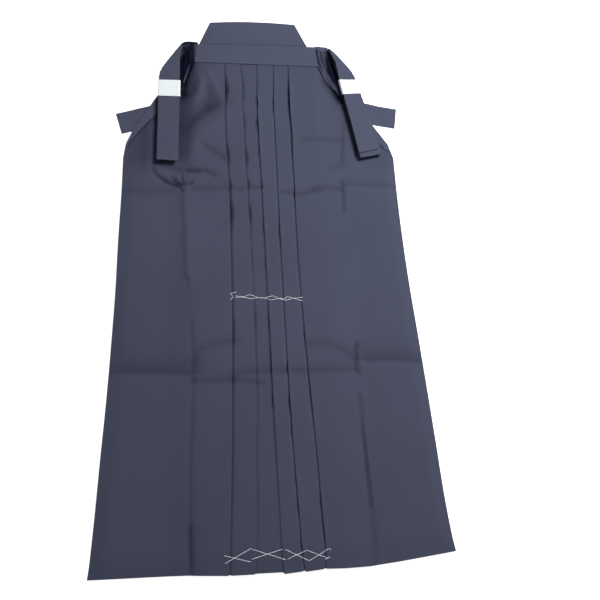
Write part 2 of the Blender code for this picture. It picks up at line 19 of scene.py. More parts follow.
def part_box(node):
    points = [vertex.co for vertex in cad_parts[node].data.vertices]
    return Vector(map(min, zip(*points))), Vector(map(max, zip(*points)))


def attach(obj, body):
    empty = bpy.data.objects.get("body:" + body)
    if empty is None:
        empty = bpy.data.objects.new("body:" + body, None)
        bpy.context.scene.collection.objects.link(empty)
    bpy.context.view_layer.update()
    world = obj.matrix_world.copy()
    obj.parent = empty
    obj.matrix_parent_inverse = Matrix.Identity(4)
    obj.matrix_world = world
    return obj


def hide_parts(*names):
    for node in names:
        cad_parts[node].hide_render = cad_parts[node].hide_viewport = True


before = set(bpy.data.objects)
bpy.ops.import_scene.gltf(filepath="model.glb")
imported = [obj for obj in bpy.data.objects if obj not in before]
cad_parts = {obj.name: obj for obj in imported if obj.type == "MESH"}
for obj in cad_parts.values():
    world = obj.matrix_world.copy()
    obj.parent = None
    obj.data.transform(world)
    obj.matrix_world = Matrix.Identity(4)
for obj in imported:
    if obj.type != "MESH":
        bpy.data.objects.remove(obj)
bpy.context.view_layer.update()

bl_info = {
    "name": "Hakama Trousers",
    "version": (1, 0, 0),
    "blender": (4, 5, 0),
    "location": "View3D > Sidebar > Hakama",
    "description": "Dresses the packed hakama trousers in navy twill, paper bands and tacking thread",
    "category": "Add Mesh",
}


def metres(*rows):
    """Rows of sizes that are given in millimetres."""
    return [tuple(size / 1000 for size in row) for row in rows]


# ---- Sizes shared with the frame ----

LENGTH = 1.079  # from the hem's line to the top of the board
CLOTH = 0.001
GAP = 0.0003  # between one layer and the next
LAYER = CLOTH + GAP
TIE_WALL = 0.0012
TIE_LAYER = TIE_WALL + GAP
BACK_TIE_WIDTH = 0.0455
PAPER = 0.0006
BOARD_THICKNESS = 0.0062
WAIST = 1.0  # where the back widths end and the board starts
SEAM_TOP = 0.77  # where the side seams end and the side openings start
PANEL_TOP = 1.018  # the upper ends of the front widths, inside the band
FRONT_PLEAT_DEPTH = 0.58  # share of its spacing that a front pleat is folded under
BACK_PLEAT_DEPTH = 0.112
LEG_PARTING = 0.35  # share of the middle pleat's depth at which the two legs part
PLEAT_HEM_DROP = 0.001  # how far the outermost layer hangs below the innermost
TIE_RUNS = 7  # folded lengths of a front tie
TIE_LOOP = 0.0028  # radius of the open loop at the top of its uppermost length
TIE_STIFFNESS = 0.008  # a tie's turn bridges what lies this far from it
PAPER_ROOM = PAPER + GAP
BAND_LAP = 0.006  # how much shorter the band is behind than in front
BACK_PLEATS = 3 * LAYER
CROSSED_TIES = 2 * TIE_LAYER
BAND_REAR = BACK_PLEATS + CROSSED_TIES + CLOTH / 2
BAND_FRONT = BAND_REAR + 4 * LAYER
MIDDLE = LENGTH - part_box("back_board")[1].y

# Rows of y, right and left.
SIDE_SEAM = metres(
    (0, -314.5, 314.5), (30, -311.5, 311), (100, -305, 304.5), (200, -297, 299), (300, -288.5, 293.3),
    (400, -281.5, 287.3), (500, -275.5, 280.8), (600, -271.5, 276.6), (700, -266.5, 274.8),
    (770, -264, 275),
)
SIDE_OPENING = metres(
    (770, -264, 275), (800, -259, 266), (830, -245, 246), (880, -214.5, 215), (930, -183, 184),
    (975, -157.5, 158), (1018, -124, 129),
)
SEAMS = metres(
    (0, -148, 172.5), (100, -146, 172.5), (200, -143.8, 169.5), (300, -141.5, 165.5),
    (400, -141.5, 161.5), (700, -142.5, 161), (800, -142, 168), (880, -140, 168), (930, -137, 156),
    (1018, -125, 127),
)
SIDE_FOLDS = metres(
    (785, -259, 264), (800, -254, 249), (830, -230, 220), (880, -186, 189), (930, -164, 165)
)
# Rows of y and the folded edges of the five front pleats.
PLEATS = metres(
    (0, -84, -40, 8.5, 45, 81), (30, -82, -37.5, 7, 42, 82), (100, -77.7, -33.7, 6.5, 39.4, 79.8),
    (200, -72.7, -29.7, 5.5, 36.3, 77.3), (300, -68.9, -25.4, 4.3, 34.5, 73.1),
    (400, -65.5, -24.5, 4.5, 33.9, 69.2), (500, -63.7, -24.7, 3.8, 33.3, 66.8),
    (600, -62.3, -24.8, 3, 33.2, 65.5), (700, -62.1, -26.6, 2.6, 34, 66.7),
    (770, -64.1, -28.3, 1.7, 34.1, 67.1), (820, -66.2, -28.8, 0.8, 33.8, 67.9),
    (870, -65.2, -30, 1.2, 33.6, 66.8), (930, -63.5, -29.6, 3, 36.6, 68), (1018, -65, -31, 6, 40, 71),
)
# The pleats whose distance apart gives each pleat's depth.
PLEAT_SPACINGS = ((0, 1), (0, 1), (2, 3), (3, 4), (3, 4))
# Rows of x and y.
FRONT_HEM = metres(
    (-314.5, 10.4), (-213, 7.9), (-154, 6.2), (-85, 1), (8, -1.2), (10, -3), (44, -1), (46, -2.1),
    (80, 0.2), (113, -1.4), (158, -1.8), (212, 2.1), (314.5, 12.1),
)
BACK_HEM = metres((-314.5, 11), (0, 4), (314.5, 12.5))
# Rows of y, and the height of what the front lies on at its sides and at its middle.
BED = [
    (0.000, LAYER, BACK_PLEATS),
    (0.770, LAYER, BACK_PLEATS),
    (0.830, LAYER + CROSSED_TIES, BACK_PLEATS + CROSSED_TIES),
    (0.930, LAYER + CROSSED_TIES, BACK_PLEATS + CROSSED_TIES),
    (0.975, LAYER + CROSSED_TIES, BACK_PLEATS + CROSSED_TIES + LAYER),
    (1.018, LAYER + CROSSED_TIES, BACK_PLEATS + CROSSED_TIES + LAYER),
]
# Rows of y, and where the front starts and ends its fall from the pleats to the sides.
FALL = metres(
    (0, 114, 190), (700, 114, 190), (830, 114, 160), (930, 118, 157), (975, 125, 156), (1018, 125, 151)
)
HEM_BLEND = 0.03  # the hem's own line is blended in below this height
FOLD_STEPS = 6

BACK_SEAM = 0.15
BACK_WAIST_SEAM = 0.118
BACK_WAIST_HALF = 0.124

BandEnd = namedtuple("BandEnd", "x_lower x_upper y_lower y_upper")
BAND_RIGHT = BandEnd(-0.1234, -0.1234, 0.9798, 1.0238)
BAND_LEFT = BandEnd(0.1331, 0.1299, 0.9754, 1.0235)
BAND_STITCHES = (0.164, 0.345, 0.448, 0.630, 0.743)  # shares of its height where rows of stitches run

BOARD_LOWER = (-0.1255, 0.1245)
BOARD_UPPER = (-0.0896, 0.0885)

SIDE_LAYER_Z = LAYER + TIE_WALL / 2
PLEAT_LAYER_Z = BACK_PLEATS + TIE_WALL / 2
# Rows of x and mid height.
BACK_TIE_LEFT = [
    (-0.2734, TIE_WALL / 2),
    (-0.2480, TIE_WALL / 2),
    (-0.2290, SIDE_LAYER_Z),
    (-0.1450, SIDE_LAYER_Z),
    (-0.1250, PLEAT_LAYER_Z),
    (0.0830, PLEAT_LAYER_Z),
]
BACK_TIE_RIGHT = [
    (0.2885, TIE_WALL / 2),
    (0.2500, TIE_WALL / 2),
    (0.2290, SIDE_LAYER_Z + TIE_LAYER),
    (0.1450, SIDE_LAYER_Z + TIE_LAYER),
    (0.1250, PLEAT_LAYER_Z + TIE_LAYER),
    (-0.0830, PLEAT_LAYER_Z + TIE_LAYER),
]
# The y of each back tie's two ends.
BACK_TIE_LEFT_Y = (0.8448, 0.9400)
BACK_TIE_RIGHT_Y = (0.8620, 0.9260)

TIE_BED = metres((750, 3.9), (830, 7.2), (950, 8.7), (1030, 8.7))  # rows of y and height
# One edge of a front tie: its course from the waistband to the first length, then its folded lengths.
TieEdge = namedtuple("TieEdge", "turn waist neck foot top_foot")
TIE_RIGHT = (
    TieEdge(
        turn=metres((-122.2, 980), (-127, 980), (-132, 972), (-138.5, 956), (-144.5, 937), (-150, 913)),
        waist=(-0.1520, 0.9800),
        neck=(-0.1527, 0.9400),
        foot=(-0.1585, 0.7620),
        top_foot=(-0.1583, 0.7573),
    ),
    TieEdge(
        turn=metres((-115, 1026.2), (-135, 1028), (-149.5, 1024.5), (-162, 999), (-179, 970), (-193, 913)),
        waist=(-0.1915, 0.9530),
        neck=(-0.1938, 0.9400),
        foot=(-0.1990, 0.7650),
        top_foot=(-0.1994, 0.7604),
    ),
)
TIE_LEFT = (
    TieEdge(
        turn=metres((131.9, 976), (135.2, 965.5), (144.5, 944), (157.2, 926.5), (171.2, 909), (186, 882)),
        waist=(0.1680, 0.9800),
        neck=(0.1716, 0.9475),
        foot=(0.2037, 0.7660),
        top_foot=(0.2013, 0.7755),
    ),
    TieEdge(
        turn=metres((127.5, 1022.8), (140, 1023.2), (154.5, 1022.4), (174, 996), (195, 960), (215, 890)),
        waist=(0.2035, 0.9530),
        neck=(0.2052, 0.9475),
        foot=(0.2490, 0.7750),
        top_foot=(0.2425, 0.7847),
    ),
)
LOOP_RIGHT = metres((-150, 1018.5), (-157.6, 1007.5), (-166, 995.5), (-178.5, 977.5), (-189.5, 960))
LOOP_LEFT = metres((157, 1016.5), (166.8, 1007), (179, 991.8), (192.5, 973.8), (202.5, 959))
LOOP_HEIGHT = 0.0192
TIE_TOP_FOLDS = (0.93, 0.90)  # shares of the way up where the hidden lengths turn, in turn
TIE_KNEE = 0.38  # share of the way up where a length has come level
TIE_FOOT_STEP = 0.003  # each fold at the foot ends this much higher than the one above it
# The lower and upper y of each paper band.
PAPER_BAND_RIGHT = (0.8965, 0.9325)
PAPER_BAND_LEFT = (0.9070, 0.9405)

# For each side of the garment, its name, the sign of its x and its column in the tables.
SIDES = (("right", -1, 1), ("left", 1, 2))

# ---- Sizes that only the looks need ----

WALL = 0.0006  # the real cloth's thickness, as the widths show it
FRONT_LAYER = 0.0008  # from one layer of a front pleat to the next
FOLD = (FRONT_LAYER + WALL) / 2
SEAM = 0.00008  # between two widths that are sewn together
MERGE = 1e-5
PLEAT_RISE = 0.0004  # from a pleat's edge to where the cloth below starts to rise
PLEAT_END = 0.0060  # and to where it is level with the pleats
PLEAT_LIFT_REACH = 0.010  # a pleat's edge lifts over this breadth
SIDE_CURL = 0.0005  # the front meets the back along the side seams
SIDE_CURL_BREADTH = 0.006
RIDGE_POWER = 1.4  # how steeply a ridge or trough falls off to its sides
SWELL_PEAK = 1.5  # of the sum of waves, so that the swell stays mostly between -1 and 1
RELIEF_ROUND = 1e-7  # rounds off the relief where it meets the layers below, in square metres
EDGE_RELIEF = 0.2  # share of the relief that is left at the front's side edges
EDGE_BREADTH = 0.025
BACK_RELIEF = 0.25  # how much of the front's relief shows in the back
TIE_FREE_END = 0.12  # share of the way from a front tie's end to its knee that is lifted
TIE_END_LIFT = 0.0014
PAPER_SLANT = 0.0045  # the underside of a paper band lies this much nearer the waist
# Round the edge of a paper band, from its face to its side: how far each point lies below the face and
# in from the side.
PAPER_TURN = metres((0, 3), (0, 0.8), (0.3, 0.3), (0.8, 0))
BAND_STITCH_BREADTH = 0.018  # share of the band's height that a row of stitches draws in
BAND_STITCH_INSET = 0.0003
STITCH_SIZE = (0.40, 0.00035, 0.00020)  # half a stitch: share of its length, then width and height
BOARD_RISE = 0.0022  # the rounded corners of the board's top lie this much above the frame's
BOARD_CROWN = 0.0038  # how far the top of the board bows up at its middle
BOARD_ROUND = 0.0015
BOARD_SHARP = 40  # degrees; an edge that turns more than this stays sharp
BOARD_CONTACT = (0.0008, 0.0030, 0.0060)  # the painted shadow where the board meets the band: start, middle, end
THREAD_STEP = 0.0015
THREAD_STAND = 0.7  # share of its radius that the thread's middle stands above the cloth
THREAD_TWIST = 0.001  # the real thread turns about once in this
WAVE = pi / 10  # from one band of a wave pattern to the next, at a scale of 1

CAMERA_PLACE = (-0.1018, -0.3932, 1.2131)
CAMERA_TURN = (15.579, -6.905, -3.401)  # degrees
CAMERA_LENS = 40.2
CAMERA_SENSOR = 36.0
# Each lamp's name, place, watts and size.
LAMPS = (("key", (0.92, 0.62, 1.58), 35.0, 0.7), ("fill", (-0.6, 0.3, 2.0), 2.0, 2.0))
FLOOR_HALF = 4.0
FLOOR_GAP = 0.0004
OVERHEAD = 0.05  # higher than every piece

# Smooth changes: the place where each starts and the breadth it takes, below 0 where it goes back to 0.
LAYERS_PRESSED = (0.90, 0.07)  # the pleats' layers are pressed closer towards the band
BELOW_OPENINGS = (SEAM_TOP, -0.02)
BACK_LOOSE = (0.85, -0.06)  # the back lies flat above this, under its ties
ABOVE_HEM = (-0.01, 0.05)
BELOW_BAND = (BAND_RIGHT.y_lower + 0.003, -0.05)
ALONG_FOLDS = ((0.785, 0.01), (0.935, -0.01))
FROM_TIES = (0.022, 0.03)  # distance from the middle line of the folded ties
# And along a front tie's turn, in shares of its length, apart from the height in TURN_ABOVE.
TURN_SEWN = (0.10, -0.10)
TURN_LOOSE = (0.0, 0.06)
TURN_ABOVE = (0.900, 0.03)
TURN_END = (1.0, -0.15)

LAYERS_PRESS = 0.6  # share of a layer's height that pressing takes
TIE_PRESS = 0.9  # share of the front's relief that the ties press flat

# Rows and columns of faces.
PANEL_ROW = 0.0035  # height of one row of a front width
BACK_ROW = 0.007
TIE_ROW = 0.005
OUTER_COLUMNS = 48  # across a front outer width
EDGE_COLUMNS = 11  # from an inner width's seam to its first pleat
FACE_COLUMNS = 16  # across the face of a pleat
TUCK_COLUMNS = 6  # across the layer below it
RISE_COLUMNS = 6
HIDDEN_COLUMNS = 5  # across the lowest layer
PARTING_COLUMNS = (16, 2)  # from the last pleat to where the legs part, on the right and on the left
BACK_COLUMNS = 30
BACK_PLEAT_COLUMNS = 22
SIDE_FOLD_ROWS = 40
SIDE_FOLD_COLUMNS = 8
BAND_ROWS = 128
BAND_REAR_COLUMNS = 4
BAND_FOLD_COLUMNS = 12
BAND_FACE_COLUMNS = 60
BOARD_COLUMNS = 24
BACK_TIE_ROWS = 60
BACK_TIE_COLUMNS = 8
TIE_COLUMNS = 24
TURN_ROWS = 48
LOOP_ROWS = 10
PAPER_ROWS = 14

# Lengths of white thread that tack the pleats down, as rows of x and y.
MIDDLE_TACKING = [
    metres((-57.3, 483.8), (-41.3, 482), (-30.5, 485.8), (-15.1, 480.2), (-2.6, 479.1), (12.6, 482.6)),
    metres((12.6, 482.6), (23.6, 477.2), (36, 473), (50.2, 476.6), (69.3, 478)),
    metres((-57.4, 481.2), (-41.3, 480.8), (-26.5, 477.7), (-15.1, 480.2), (-2.6, 478.5), (9.8, 474.3)),
    metres((9.8, 474.3), (23.6, 477.2), (35.1, 476.2), (40.2, 480.7), (50.2, 476.6), (68.9, 471.4)),
    metres((-54.7, 491.4), (-65.9, 488.6), (-61.1, 482.7), (-65.7, 477)),
]
HEM_TACKING = [
    metres((-91, 32.6), (-46.8, 19.5)),
    metres((-90.5, 19.6), (-45.4, 41.1)),
    metres((-44.6, 39.8), (12.4, 18.7)),
    metres((-45.2, 23.6), (8.2, 36.1)),
    metres((11.6, 35.9), (52.4, 14.3)),
    metres((15, 19.4), (49, 31.7)),
    metres((49, 31.7), (83.2, 16.9)),
    metres((52.4, 14.3), (87.7, 31.9), (90.9, 27.9)),
    metres((78.7, 14), (88.5, 18.3)),
]

# ---- Creases and hollows of the resting cloth ----

# A soft ridge, or a trough where its height is below 0: its breadths to the left and right of the way
# that it runs, and its points.
Crease = namedtuple("Crease", "height left right points")


def crease(height, left, right, *points):
    """A crease, given in millimetres."""
    return Crease(height / 1000, left / 1000, right / 1000, metres(*points))


def hollow(depth, left, right, *points):
    """A line of painted shade, laid out as a crease is, whose depth is a share of the full shade."""
    return Crease(depth, left / 1000, right / 1000, metres(*points))


CREASES = [
    crease(4.3, 7, 7, (-122, 976), (-117, 955), (-111, 932), (-114, 911), (-125, 895), (-140, 890)),
    crease(-4, 14, 10, (-137, 962), (-129, 934), (-128, 911), (-146, 899)),
    crease(2.7, 8, 8, (-97, 953), (-87, 932), (-76, 905), (-68, 880)),
    crease(-2.1, 8, 8, (-99, 925), (-94, 902), (-102, 880)),
    crease(-3.3, 14, 14, (-151, 812), (-135, 841), (-110, 866), (-70, 885)),
    crease(2.1, 14, 14, (-136, 786), (-115, 821), (-75, 853)),
    crease(-2.4, 6, 10, (-110, 795), (-91, 782), (-70, 767)),
    crease(-5.6, 5.5, 2.8, (-207, 744), (-199, 732), (-184, 719), (-171, 713), (-156, 707), (-152, 696)),
    crease(-6.2, 2.2, 2.2, (-173, 728), (-167, 721), (-158, 713), (-146, 711), (-133, 713)),
    crease(-4.5, 1.8, 1.8, (-154, 734), (-152, 723), (-150, 715)),
    crease(3, 9, 7, (-198, 745), (-178, 736), (-159, 728)),
    crease(-3.2, 6, 5, (-142, 740), (-127, 738), (-111, 740), (-102, 736), (-92, 730)),
    crease(3.4, 14, 5, (-150, 701), (-147, 669), (-146, 628), (-145, 578), (-144, 526)),
    crease(-2.1, 14, 14, (-226, 851), (-216, 797), (-226, 764)),
    crease(-1.9, 8, 8, (-265, 701), (-213, 695), (-164, 701)),
    crease(-2.1, 6, 6, (-137, 699), (-98, 700), (-68, 702)),
    crease(-2.1, 4, 4, (-64, 700), (-35, 698)),
    crease(-2.7, 3, 3, (-27, 702), (3, 703)),
    crease(-2.1, 4, 4, (38, 693), (65, 688)),
    crease(-2.7, 6, 5, (71, 687), (87, 690), (106, 697), (130, 701), (160, 700)),
    crease(-2, 6, 4, (165, 712), (220, 708), (269, 707)),
    crease(-1.2, 5, 5, (102, 696), (112, 698)),
    crease(-2.4, 5, 3, (90, 806.5), (129, 806.5), (169, 806.5)),
    crease(-2.4, 5, 3, (179, 860), (172, 824), (171, 799), (163, 761)),
    crease(-1.9, 7, 5, (143, 745), (162, 752)),
    crease(-2.4, 3, 4, (163, 713), (163, 684), (162, 654)),
    crease(-3, 24, 5, (-286, 350), (-248, 348.5), (-195, 346), (-144, 341)),
    crease(-2.4, 8, 8, (-138, 329), (-104, 326), (-72, 327)),
    crease(-1.9, 8, 8, (-135, 364), (-126, 384), (-90, 395), (-62, 398)),
    crease(-2.1, 7, 7, (-66, 337), (-44, 340), (-13, 341), (56, 338)),
    crease(-2.1, 6, 6, (-66, 326), (-40, 322), (-14, 319)),
    crease(-1.9, 8, 8, (70, 388), (114, 386), (141, 372), (158, 355)),
    crease(-1.9, 7, 7, (71, 337), (112, 338), (157, 336)),
    crease(-3, 20, 4, (181, 354), (231, 353), (284, 348)),
    crease(-3.3, 4, 3, (165, 385), (161, 372), (163, 356), (159, 345), (162, 332)),
    crease(
        -1.5, 4, 4,
        (-140, 438), (-138, 395), (-137, 358), (-138, 313), (-142, 243), (-146, 168), (-147, 87), (-144, 10),
    ),
    crease(-3.4, 3.5, 4.5, (-147.2, 80), (-147.7, 45), (-146.4, 2)),
    crease(-4.2, 1.6, 2.8, (163.2, 290), (165, 262), (164.5, 210), (166.1, 160)),
    crease(-3.4, 1.8, 3.8, (166.2, 157), (166.9, 120), (168.2, 96)),
    crease(-2, 5, 6, (168, 91), (168.2, 55), (168.5, 25), (169, -3)),
]
# The crumpled turns of the front ties between the waistband and the folded lengths.
TIE_CREASES = [
    crease(3.4, 2, 3.5, (-153, 1000), (-148, 1004), (-142, 1007), (-136, 1006), (-133, 998), (-134, 987)),
    crease(3.4, 2.5, 2.5, (-142, 998), (-141, 982), (-146, 964)),
    crease(2.6, 2, 3, (-131, 1012), (-130.5, 992), (-133, 978)),
    crease(2.5, 2, 2, (-158, 1010), (-147, 1018), (-130, 1019)),
    crease(3.1, 2, 3, (-131, 976), (-139, 958), (-146, 938)),
    crease(4.2, 2.5, 4, (133, 1012), (133.5, 999), (136, 985), (142, 970)),
    crease(3.5, 2, 2.5, (141, 1008), (142, 992), (148, 972)),
    crease(3.1, 2, 3, (148, 1007), (150, 990), (153, 974)),
    crease(4.2, 4, 3, (147, 957), (155, 940), (168, 908)),
    crease(2.2, 3, 3, (136, 1018), (148, 1016), (158, 1008)),
]
# Painted shade in the hollows beside the folded ties and in the crumples near their feet. A depth below
# 0 takes painted shade away, so that an edge stays light where it catches the light between two hollows.
SHADE_IN_HOLLOWS = [
    hollow(0.80, 12, 12, (-140, 1010), (-140, 972)),
    hollow(0.98, 6, 4.5, (-128.5, 1018), (-129, 984)),
    hollow(0.85, 4, 3, (-150, 1021.5), (-135, 1025.5), (-118, 1024.5)),
    hollow(0.95, 8, 9, (-150, 984), (-149, 960), (-151, 935)),
    hollow(0.50, 1.5, 1.5, (-151.5, 1008), (-144, 1012), (-136, 1008)),
    hollow(0.50, 2, 2, (-137.5, 998), (-138, 975), (-144, 955)),
    hollow(0.60, 3, 12, (-132, 972), (-138.5, 956), (-144.5, 937)),
    hollow(-1.70, 1.1, 1.3, (-132.5, 971.5), (-139, 954.5), (-145, 935)),
    hollow(0.60, 14, 15, (-132, 968), (-140, 940), (-144, 910)),
    hollow(0.35, 12, 12, (-150, 910), (-152, 830), (-154, 775)),
    hollow(0.80, 8, 6, (153, 1010), (153, 985), (157, 962)),
    hollow(0.98, 8, 10, (160, 990), (164, 960), (170, 931), (175, 905)),
    hollow(0.95, 8, 7, (156, 968), (164, 945)),
    hollow(0.70, 1.5, 1.5, (131, 1014), (129, 999), (131, 987), (136, 975), (140, 962)),
    hollow(0.45, 2, 2, (138, 1009), (139, 992), (144, 973)),
    hollow(0.30, 9, 9, (137, 1008), (139, 985)),
    hollow(0.50, 2, 8, (142, 944), (154, 925), (169, 906)),
    hollow(0.45, 6, 8, (178, 895), (190, 840), (201, 785)),
    hollow(0.22, 35, 35, (-225, 850), (-230, 770)),
    hollow(0.20, 20, 20, (-145, 835), (-110, 862), (-82, 890)),
    hollow(0.24, 5, 4, (-192, 756), (-171, 748), (-155, 744), (-142, 740), (-118, 738)),
    hollow(0.20, 8, 4, (-206, 745), (-198, 731), (-184, 719), (-160, 708)),
    hollow(-0.10, 6, 5, (-196, 744), (-178, 736), (-160, 728)),
]
# Rows of wave number across, wave number up and phase of the broad undulation, in waves a metre.
UNDULATION = [
    (3.1, 1.7, 0.3),
    (-1.9, 2.6, 1.9),
    (4.7, -2.2, 4.1),
    (0.8, 5.3, 2.6),
    (-5.9, 3.9, 0.9),
]
# For each pleat, rows of height on the garment, half its length and how far its folded edge lifts there.
PLEAT_LIFTS = [
    metres((930, 22, 0.5), (912, 14, 0.6), (775, 20, 0.5), (709, 9, 0.5), (650, 30, 0.8), (420, 25, 0.4)),
    metres(
        (928, 14, 0.5), (903, 8, 0.5), (845, 20, 0.4), (780, 14, 0.4), (762, 13, 0.6), (712, 10, 0.6),
        (650, 20, 0.7), (440, 25, 0.5),
    ),
    metres(
        (893, 18, 1), (843, 14, 1.4), (785, 40, 0.8), (708, 10, 0.6), (620, 15, 0.8), (545, 12, 0.6),
        (432, 22, 0.7), (360, 30, 0.7), (289, 15, 0.8),
    ),
    metres(
        (935, 30, 0.3), (885, 20, 0.7), (610, 30, 0.8), (345, 12, 0.8), (283, 22, 1.1), (233, 12, 0.6),
        (150, 15, 0.5), (105, 18, 0.7), (40, 14, 0.8),
    ),
    metres(
        (895, 50, 1.5), (800, 50, 0.8), (690, 20, 0.6), (408, 12, 0.7), (290, 40, 0.6), (110, 14, 0.7),
        (65, 30, 0.8),
    ),
]
# And how far it bends sideways.
PLEAT_BENDS = [
    metres((893, 8, 0.8), (858, 14, -0.6), (764, 10, 0.7), (736, 12, -0.6), (706, 9, 0.9), (590, 14, -0.6)),
    metres((922, 12, 0.8), (882, 7, -1.2), (862, 10, 0.7), (735, 10, -0.5), (708, 8, 1.2), (630, 12, 0.7)),
    metres((903, 8, -1), (884, 6, 0.6), (866, 8, -0.7), (708, 8, 0.7)),
    metres((845, 12, 0.4), (700, 10, -0.5)),
    metres((700, 10, 0.6), (545, 14, -0.5)),
]

# ---- Painted shades, from 0 for open cloth to 1 for the deepest hollow ----

FRONT_SHADE = 0.13  # painted shade: the front's open stretches are a little darker than the smooth waistband
TIE_SHADES = {"right": 0.09, "left": 0.0}  # painted shade: one tie is a little darker than the other
TROUGH_SHADE = 75.0  # painted shade for each metre that a crease's trough drops
BOARD_SHADE = 0.75  # painted shadow where the board meets the band
# The height over a tie's bed where the painted shade in the hollows beside it ends, and that change's
# breadth.
TIE_HOLLOW_DEPTH = (0.0098, 0.0012)
FOLD_SHADE = 0.35  # painted shade along the inner edge of a side opening's fold
FOLD_SHADE_REACH = 0.003
FOLD_OVERLAP = 0.001  # and a little way under the fold
# For each pleat, the way its edge faces, how deep and how broad the painted shade along its foot is, and
# how much broader it grows for each metre that the edge lifts.
PLEAT_FEET = [
    (1, 0.30, 0.0034, 7.0),
    (1, 0.34, 0.0034, 5.0),
    (-1, 0.30, 0.0022, 1.5),
    (-1, 0.30, 0.0022, 1.5),
    (-1, 0.35, 0.0024, 1.5),
]
PLEAT_HEM_SHADE = 0.45  # share of that depth at the hem
PLEAT_FULL_SHADE = 0.3  # and the height where it has grown to all of it
PLEAT_LIFT_SHADE = 400  # deeper for each metre that the edge lifts


# ---- Tables and heights ----


def read(table, column, place):
    """A table's column along straight lines between its rows; the first column is the place."""
    rows = np.array(table)
    return np.interp(place, rows[:, 0], rows[:, column])


def ease(share):
    """A smooth step from 0 to 1."""
    share = np.clip(share, 0.0, 1.0)
    return share * share * (3 - 2 * share)


def curve(table, column, place):
    """A table's column along a smooth curve through its rows."""
    rows = np.array(table)
    places, values = rows[:, 0], rows[:, column]
    slopes = np.gradient(values, places)
    place = np.clip(place, places[0], places[-1])
    low = np.clip(np.searchsorted(places, place, side="right") - 1, 0, len(places) - 2)
    step = places[low + 1] - places[low]
    share = (place - places[low]) / step
    rise = (values[low + 1] - values[low]) * ease(share)
    lead = slopes[low] * step * share * (1 - share) ** 2
    trail = slopes[low + 1] * step * share * share * (share - 1)
    return values[low] + rise + lead + trail


def changed(place, change):
    """How much of a smooth change is behind each place, from 0 to 1."""
    start, breadth = change
    return ease((place - start) / breadth)


def between(first, second, share):
    """The place at a share of the way from one place to another."""
    return tuple(a + (b - a) * share for a, b in zip(first, second))


def outline(side, y):
    """The front's side edge: 1 is the wearer's right and 2 the left."""
    y = np.asarray(y, float)
    return np.where(y <= SEAM_TOP, curve(SIDE_SEAM, side, y), read(SIDE_OPENING, side, y))


def layer_height(y, level):
    """Mid height of a front pleat's layer, from 0 for the lowest to 2 for the uppermost."""
    pressed = 1 - LAYERS_PRESS * changed(y, LAYERS_PRESSED)
    return read(BED, 2, y) + CLOTH / 2 + 2 * LAYER - (2 - level) * FRONT_LAYER * pressed


def panel_height(x, y):
    """Mid height of the front's uppermost layer, before its relief."""
    side = read(BED, 1, y) + CLOTH / 2
    start, end = read(FALL, 1, y), read(FALL, 2, y)
    edge = np.minimum(outline(2, y) - x, x - outline(1, y))
    curl = SIDE_CURL * (1 - ease(edge / SIDE_CURL_BREADTH)) * changed(y, BELOW_OPENINGS)
    return side - curl + (layer_height(y, 2) - side) * ease((end - np.abs(x)) / (end - start))


# ---- Relief of the resting cloth ----


def away_from(points, x, y):
    """How far each place lies from a line of points: above 0 to its left and below 0 to its right."""
    nearest = np.full(np.shape(x), np.inf)
    for (x_a, y_a), (x_b, y_b) in zip(points, points[1:]):
        along, rise = x_b - x_a, y_b - y_a
        share = ((x - x_a) * along + (y - y_a) * rise) / (along * along + rise * rise)
        share = np.clip(share, 0.0, 1.0)
        over, up = x - x_a - share * along, y - y_a - share * rise
        away = np.copysign(np.hypot(over, up), along * up - rise * over)
        nearest = np.where(np.abs(away) < np.abs(nearest), away, nearest)
    return nearest


def ridge(line, x, y):
    """The height of one ridge or trough at each place."""
    away = away_from(line.points, x, y)
    share = np.where(away > 0, away / line.left, -away / line.right)
    return line.height * np.exp(-(share**RIDGE_POWER))


def tie_shadow(x, y):
    """1 under the folded ties and their turns, and 0 away from them."""
    nearest = np.full(np.shape(x), np.inf)
    for inner, outer in (TIE_RIGHT, TIE_LEFT):
        foot, neck = between(inner.foot, outer.foot, 0.5), between(inner.neck, outer.neck, 0.5)
        band = between(inner.turn[0], outer.turn[0], 0.5)
        nearest = np.minimum(nearest, np.abs(away_from([foot, neck, band], x, y)))
    return 1 - changed(nearest, FROM_TIES)


def swell(x, y):
    """The broad and uneven rise of resting cloth, mostly between -1 and 1."""
    rise = np.zeros(np.shape(x))
    for across, up, phase in UNDULATION:
        rise = rise + np.sin(2 * pi * (across * x + up * y) + phase)
    return rise / len(UNDULATION) ** 0.5 / SWELL_PEAK


def creased(x, y):
    """How far the creases rise above the resting cloth, or drop below it."""
    return sum(ridge(line, x, y) for line in CREASES) * bpy.context.scene.hakama_shape.creasing


def relief(x, y):
    """How far the front stands up above its flat layers."""
    shape = bpy.context.scene.hakama_shape
    height = shape.puff + shape.swell * swell(x, y) + creased(x, y)
    height = (height + np.sqrt(height * height + RELIEF_ROUND)) / 2
    edge = np.minimum(outline(2, y) - x, x - outline(1, y))
    height = height * (EDGE_RELIEF + (1 - EDGE_RELIEF) * ease(edge / EDGE_BREADTH))
    return height * changed(y, ABOVE_HEM) * changed(y, BELOW_BAND) * (1 - TIE_PRESS * tie_shadow(x, y))


# ---- Shades in the cloth's hollows ----


def beside_ties(points):
    """How much painted shade each point gets in the hollows beside the folded ties; their upper lengths lie
    above them and get none.
    """
    x, y, z = points[..., 0], points[..., 1], points[..., 2]
    height, breadth = TIE_HOLLOW_DEPTH
    below = ease((read(TIE_BED, 1, y) + height - z) / breadth)
    return sum(ridge(line, x, y) for line in SHADE_IN_HOLLOWS) * below


def in_troughs(points):
    """How much painted shade each point gets from lying in a crease's trough."""
    x, y = points[..., 0], points[..., 1]
    return TROUGH_SHADE * np.maximum(-creased(x, y), 0.0) * (1 - TIE_PRESS * tie_shadow(x, y))


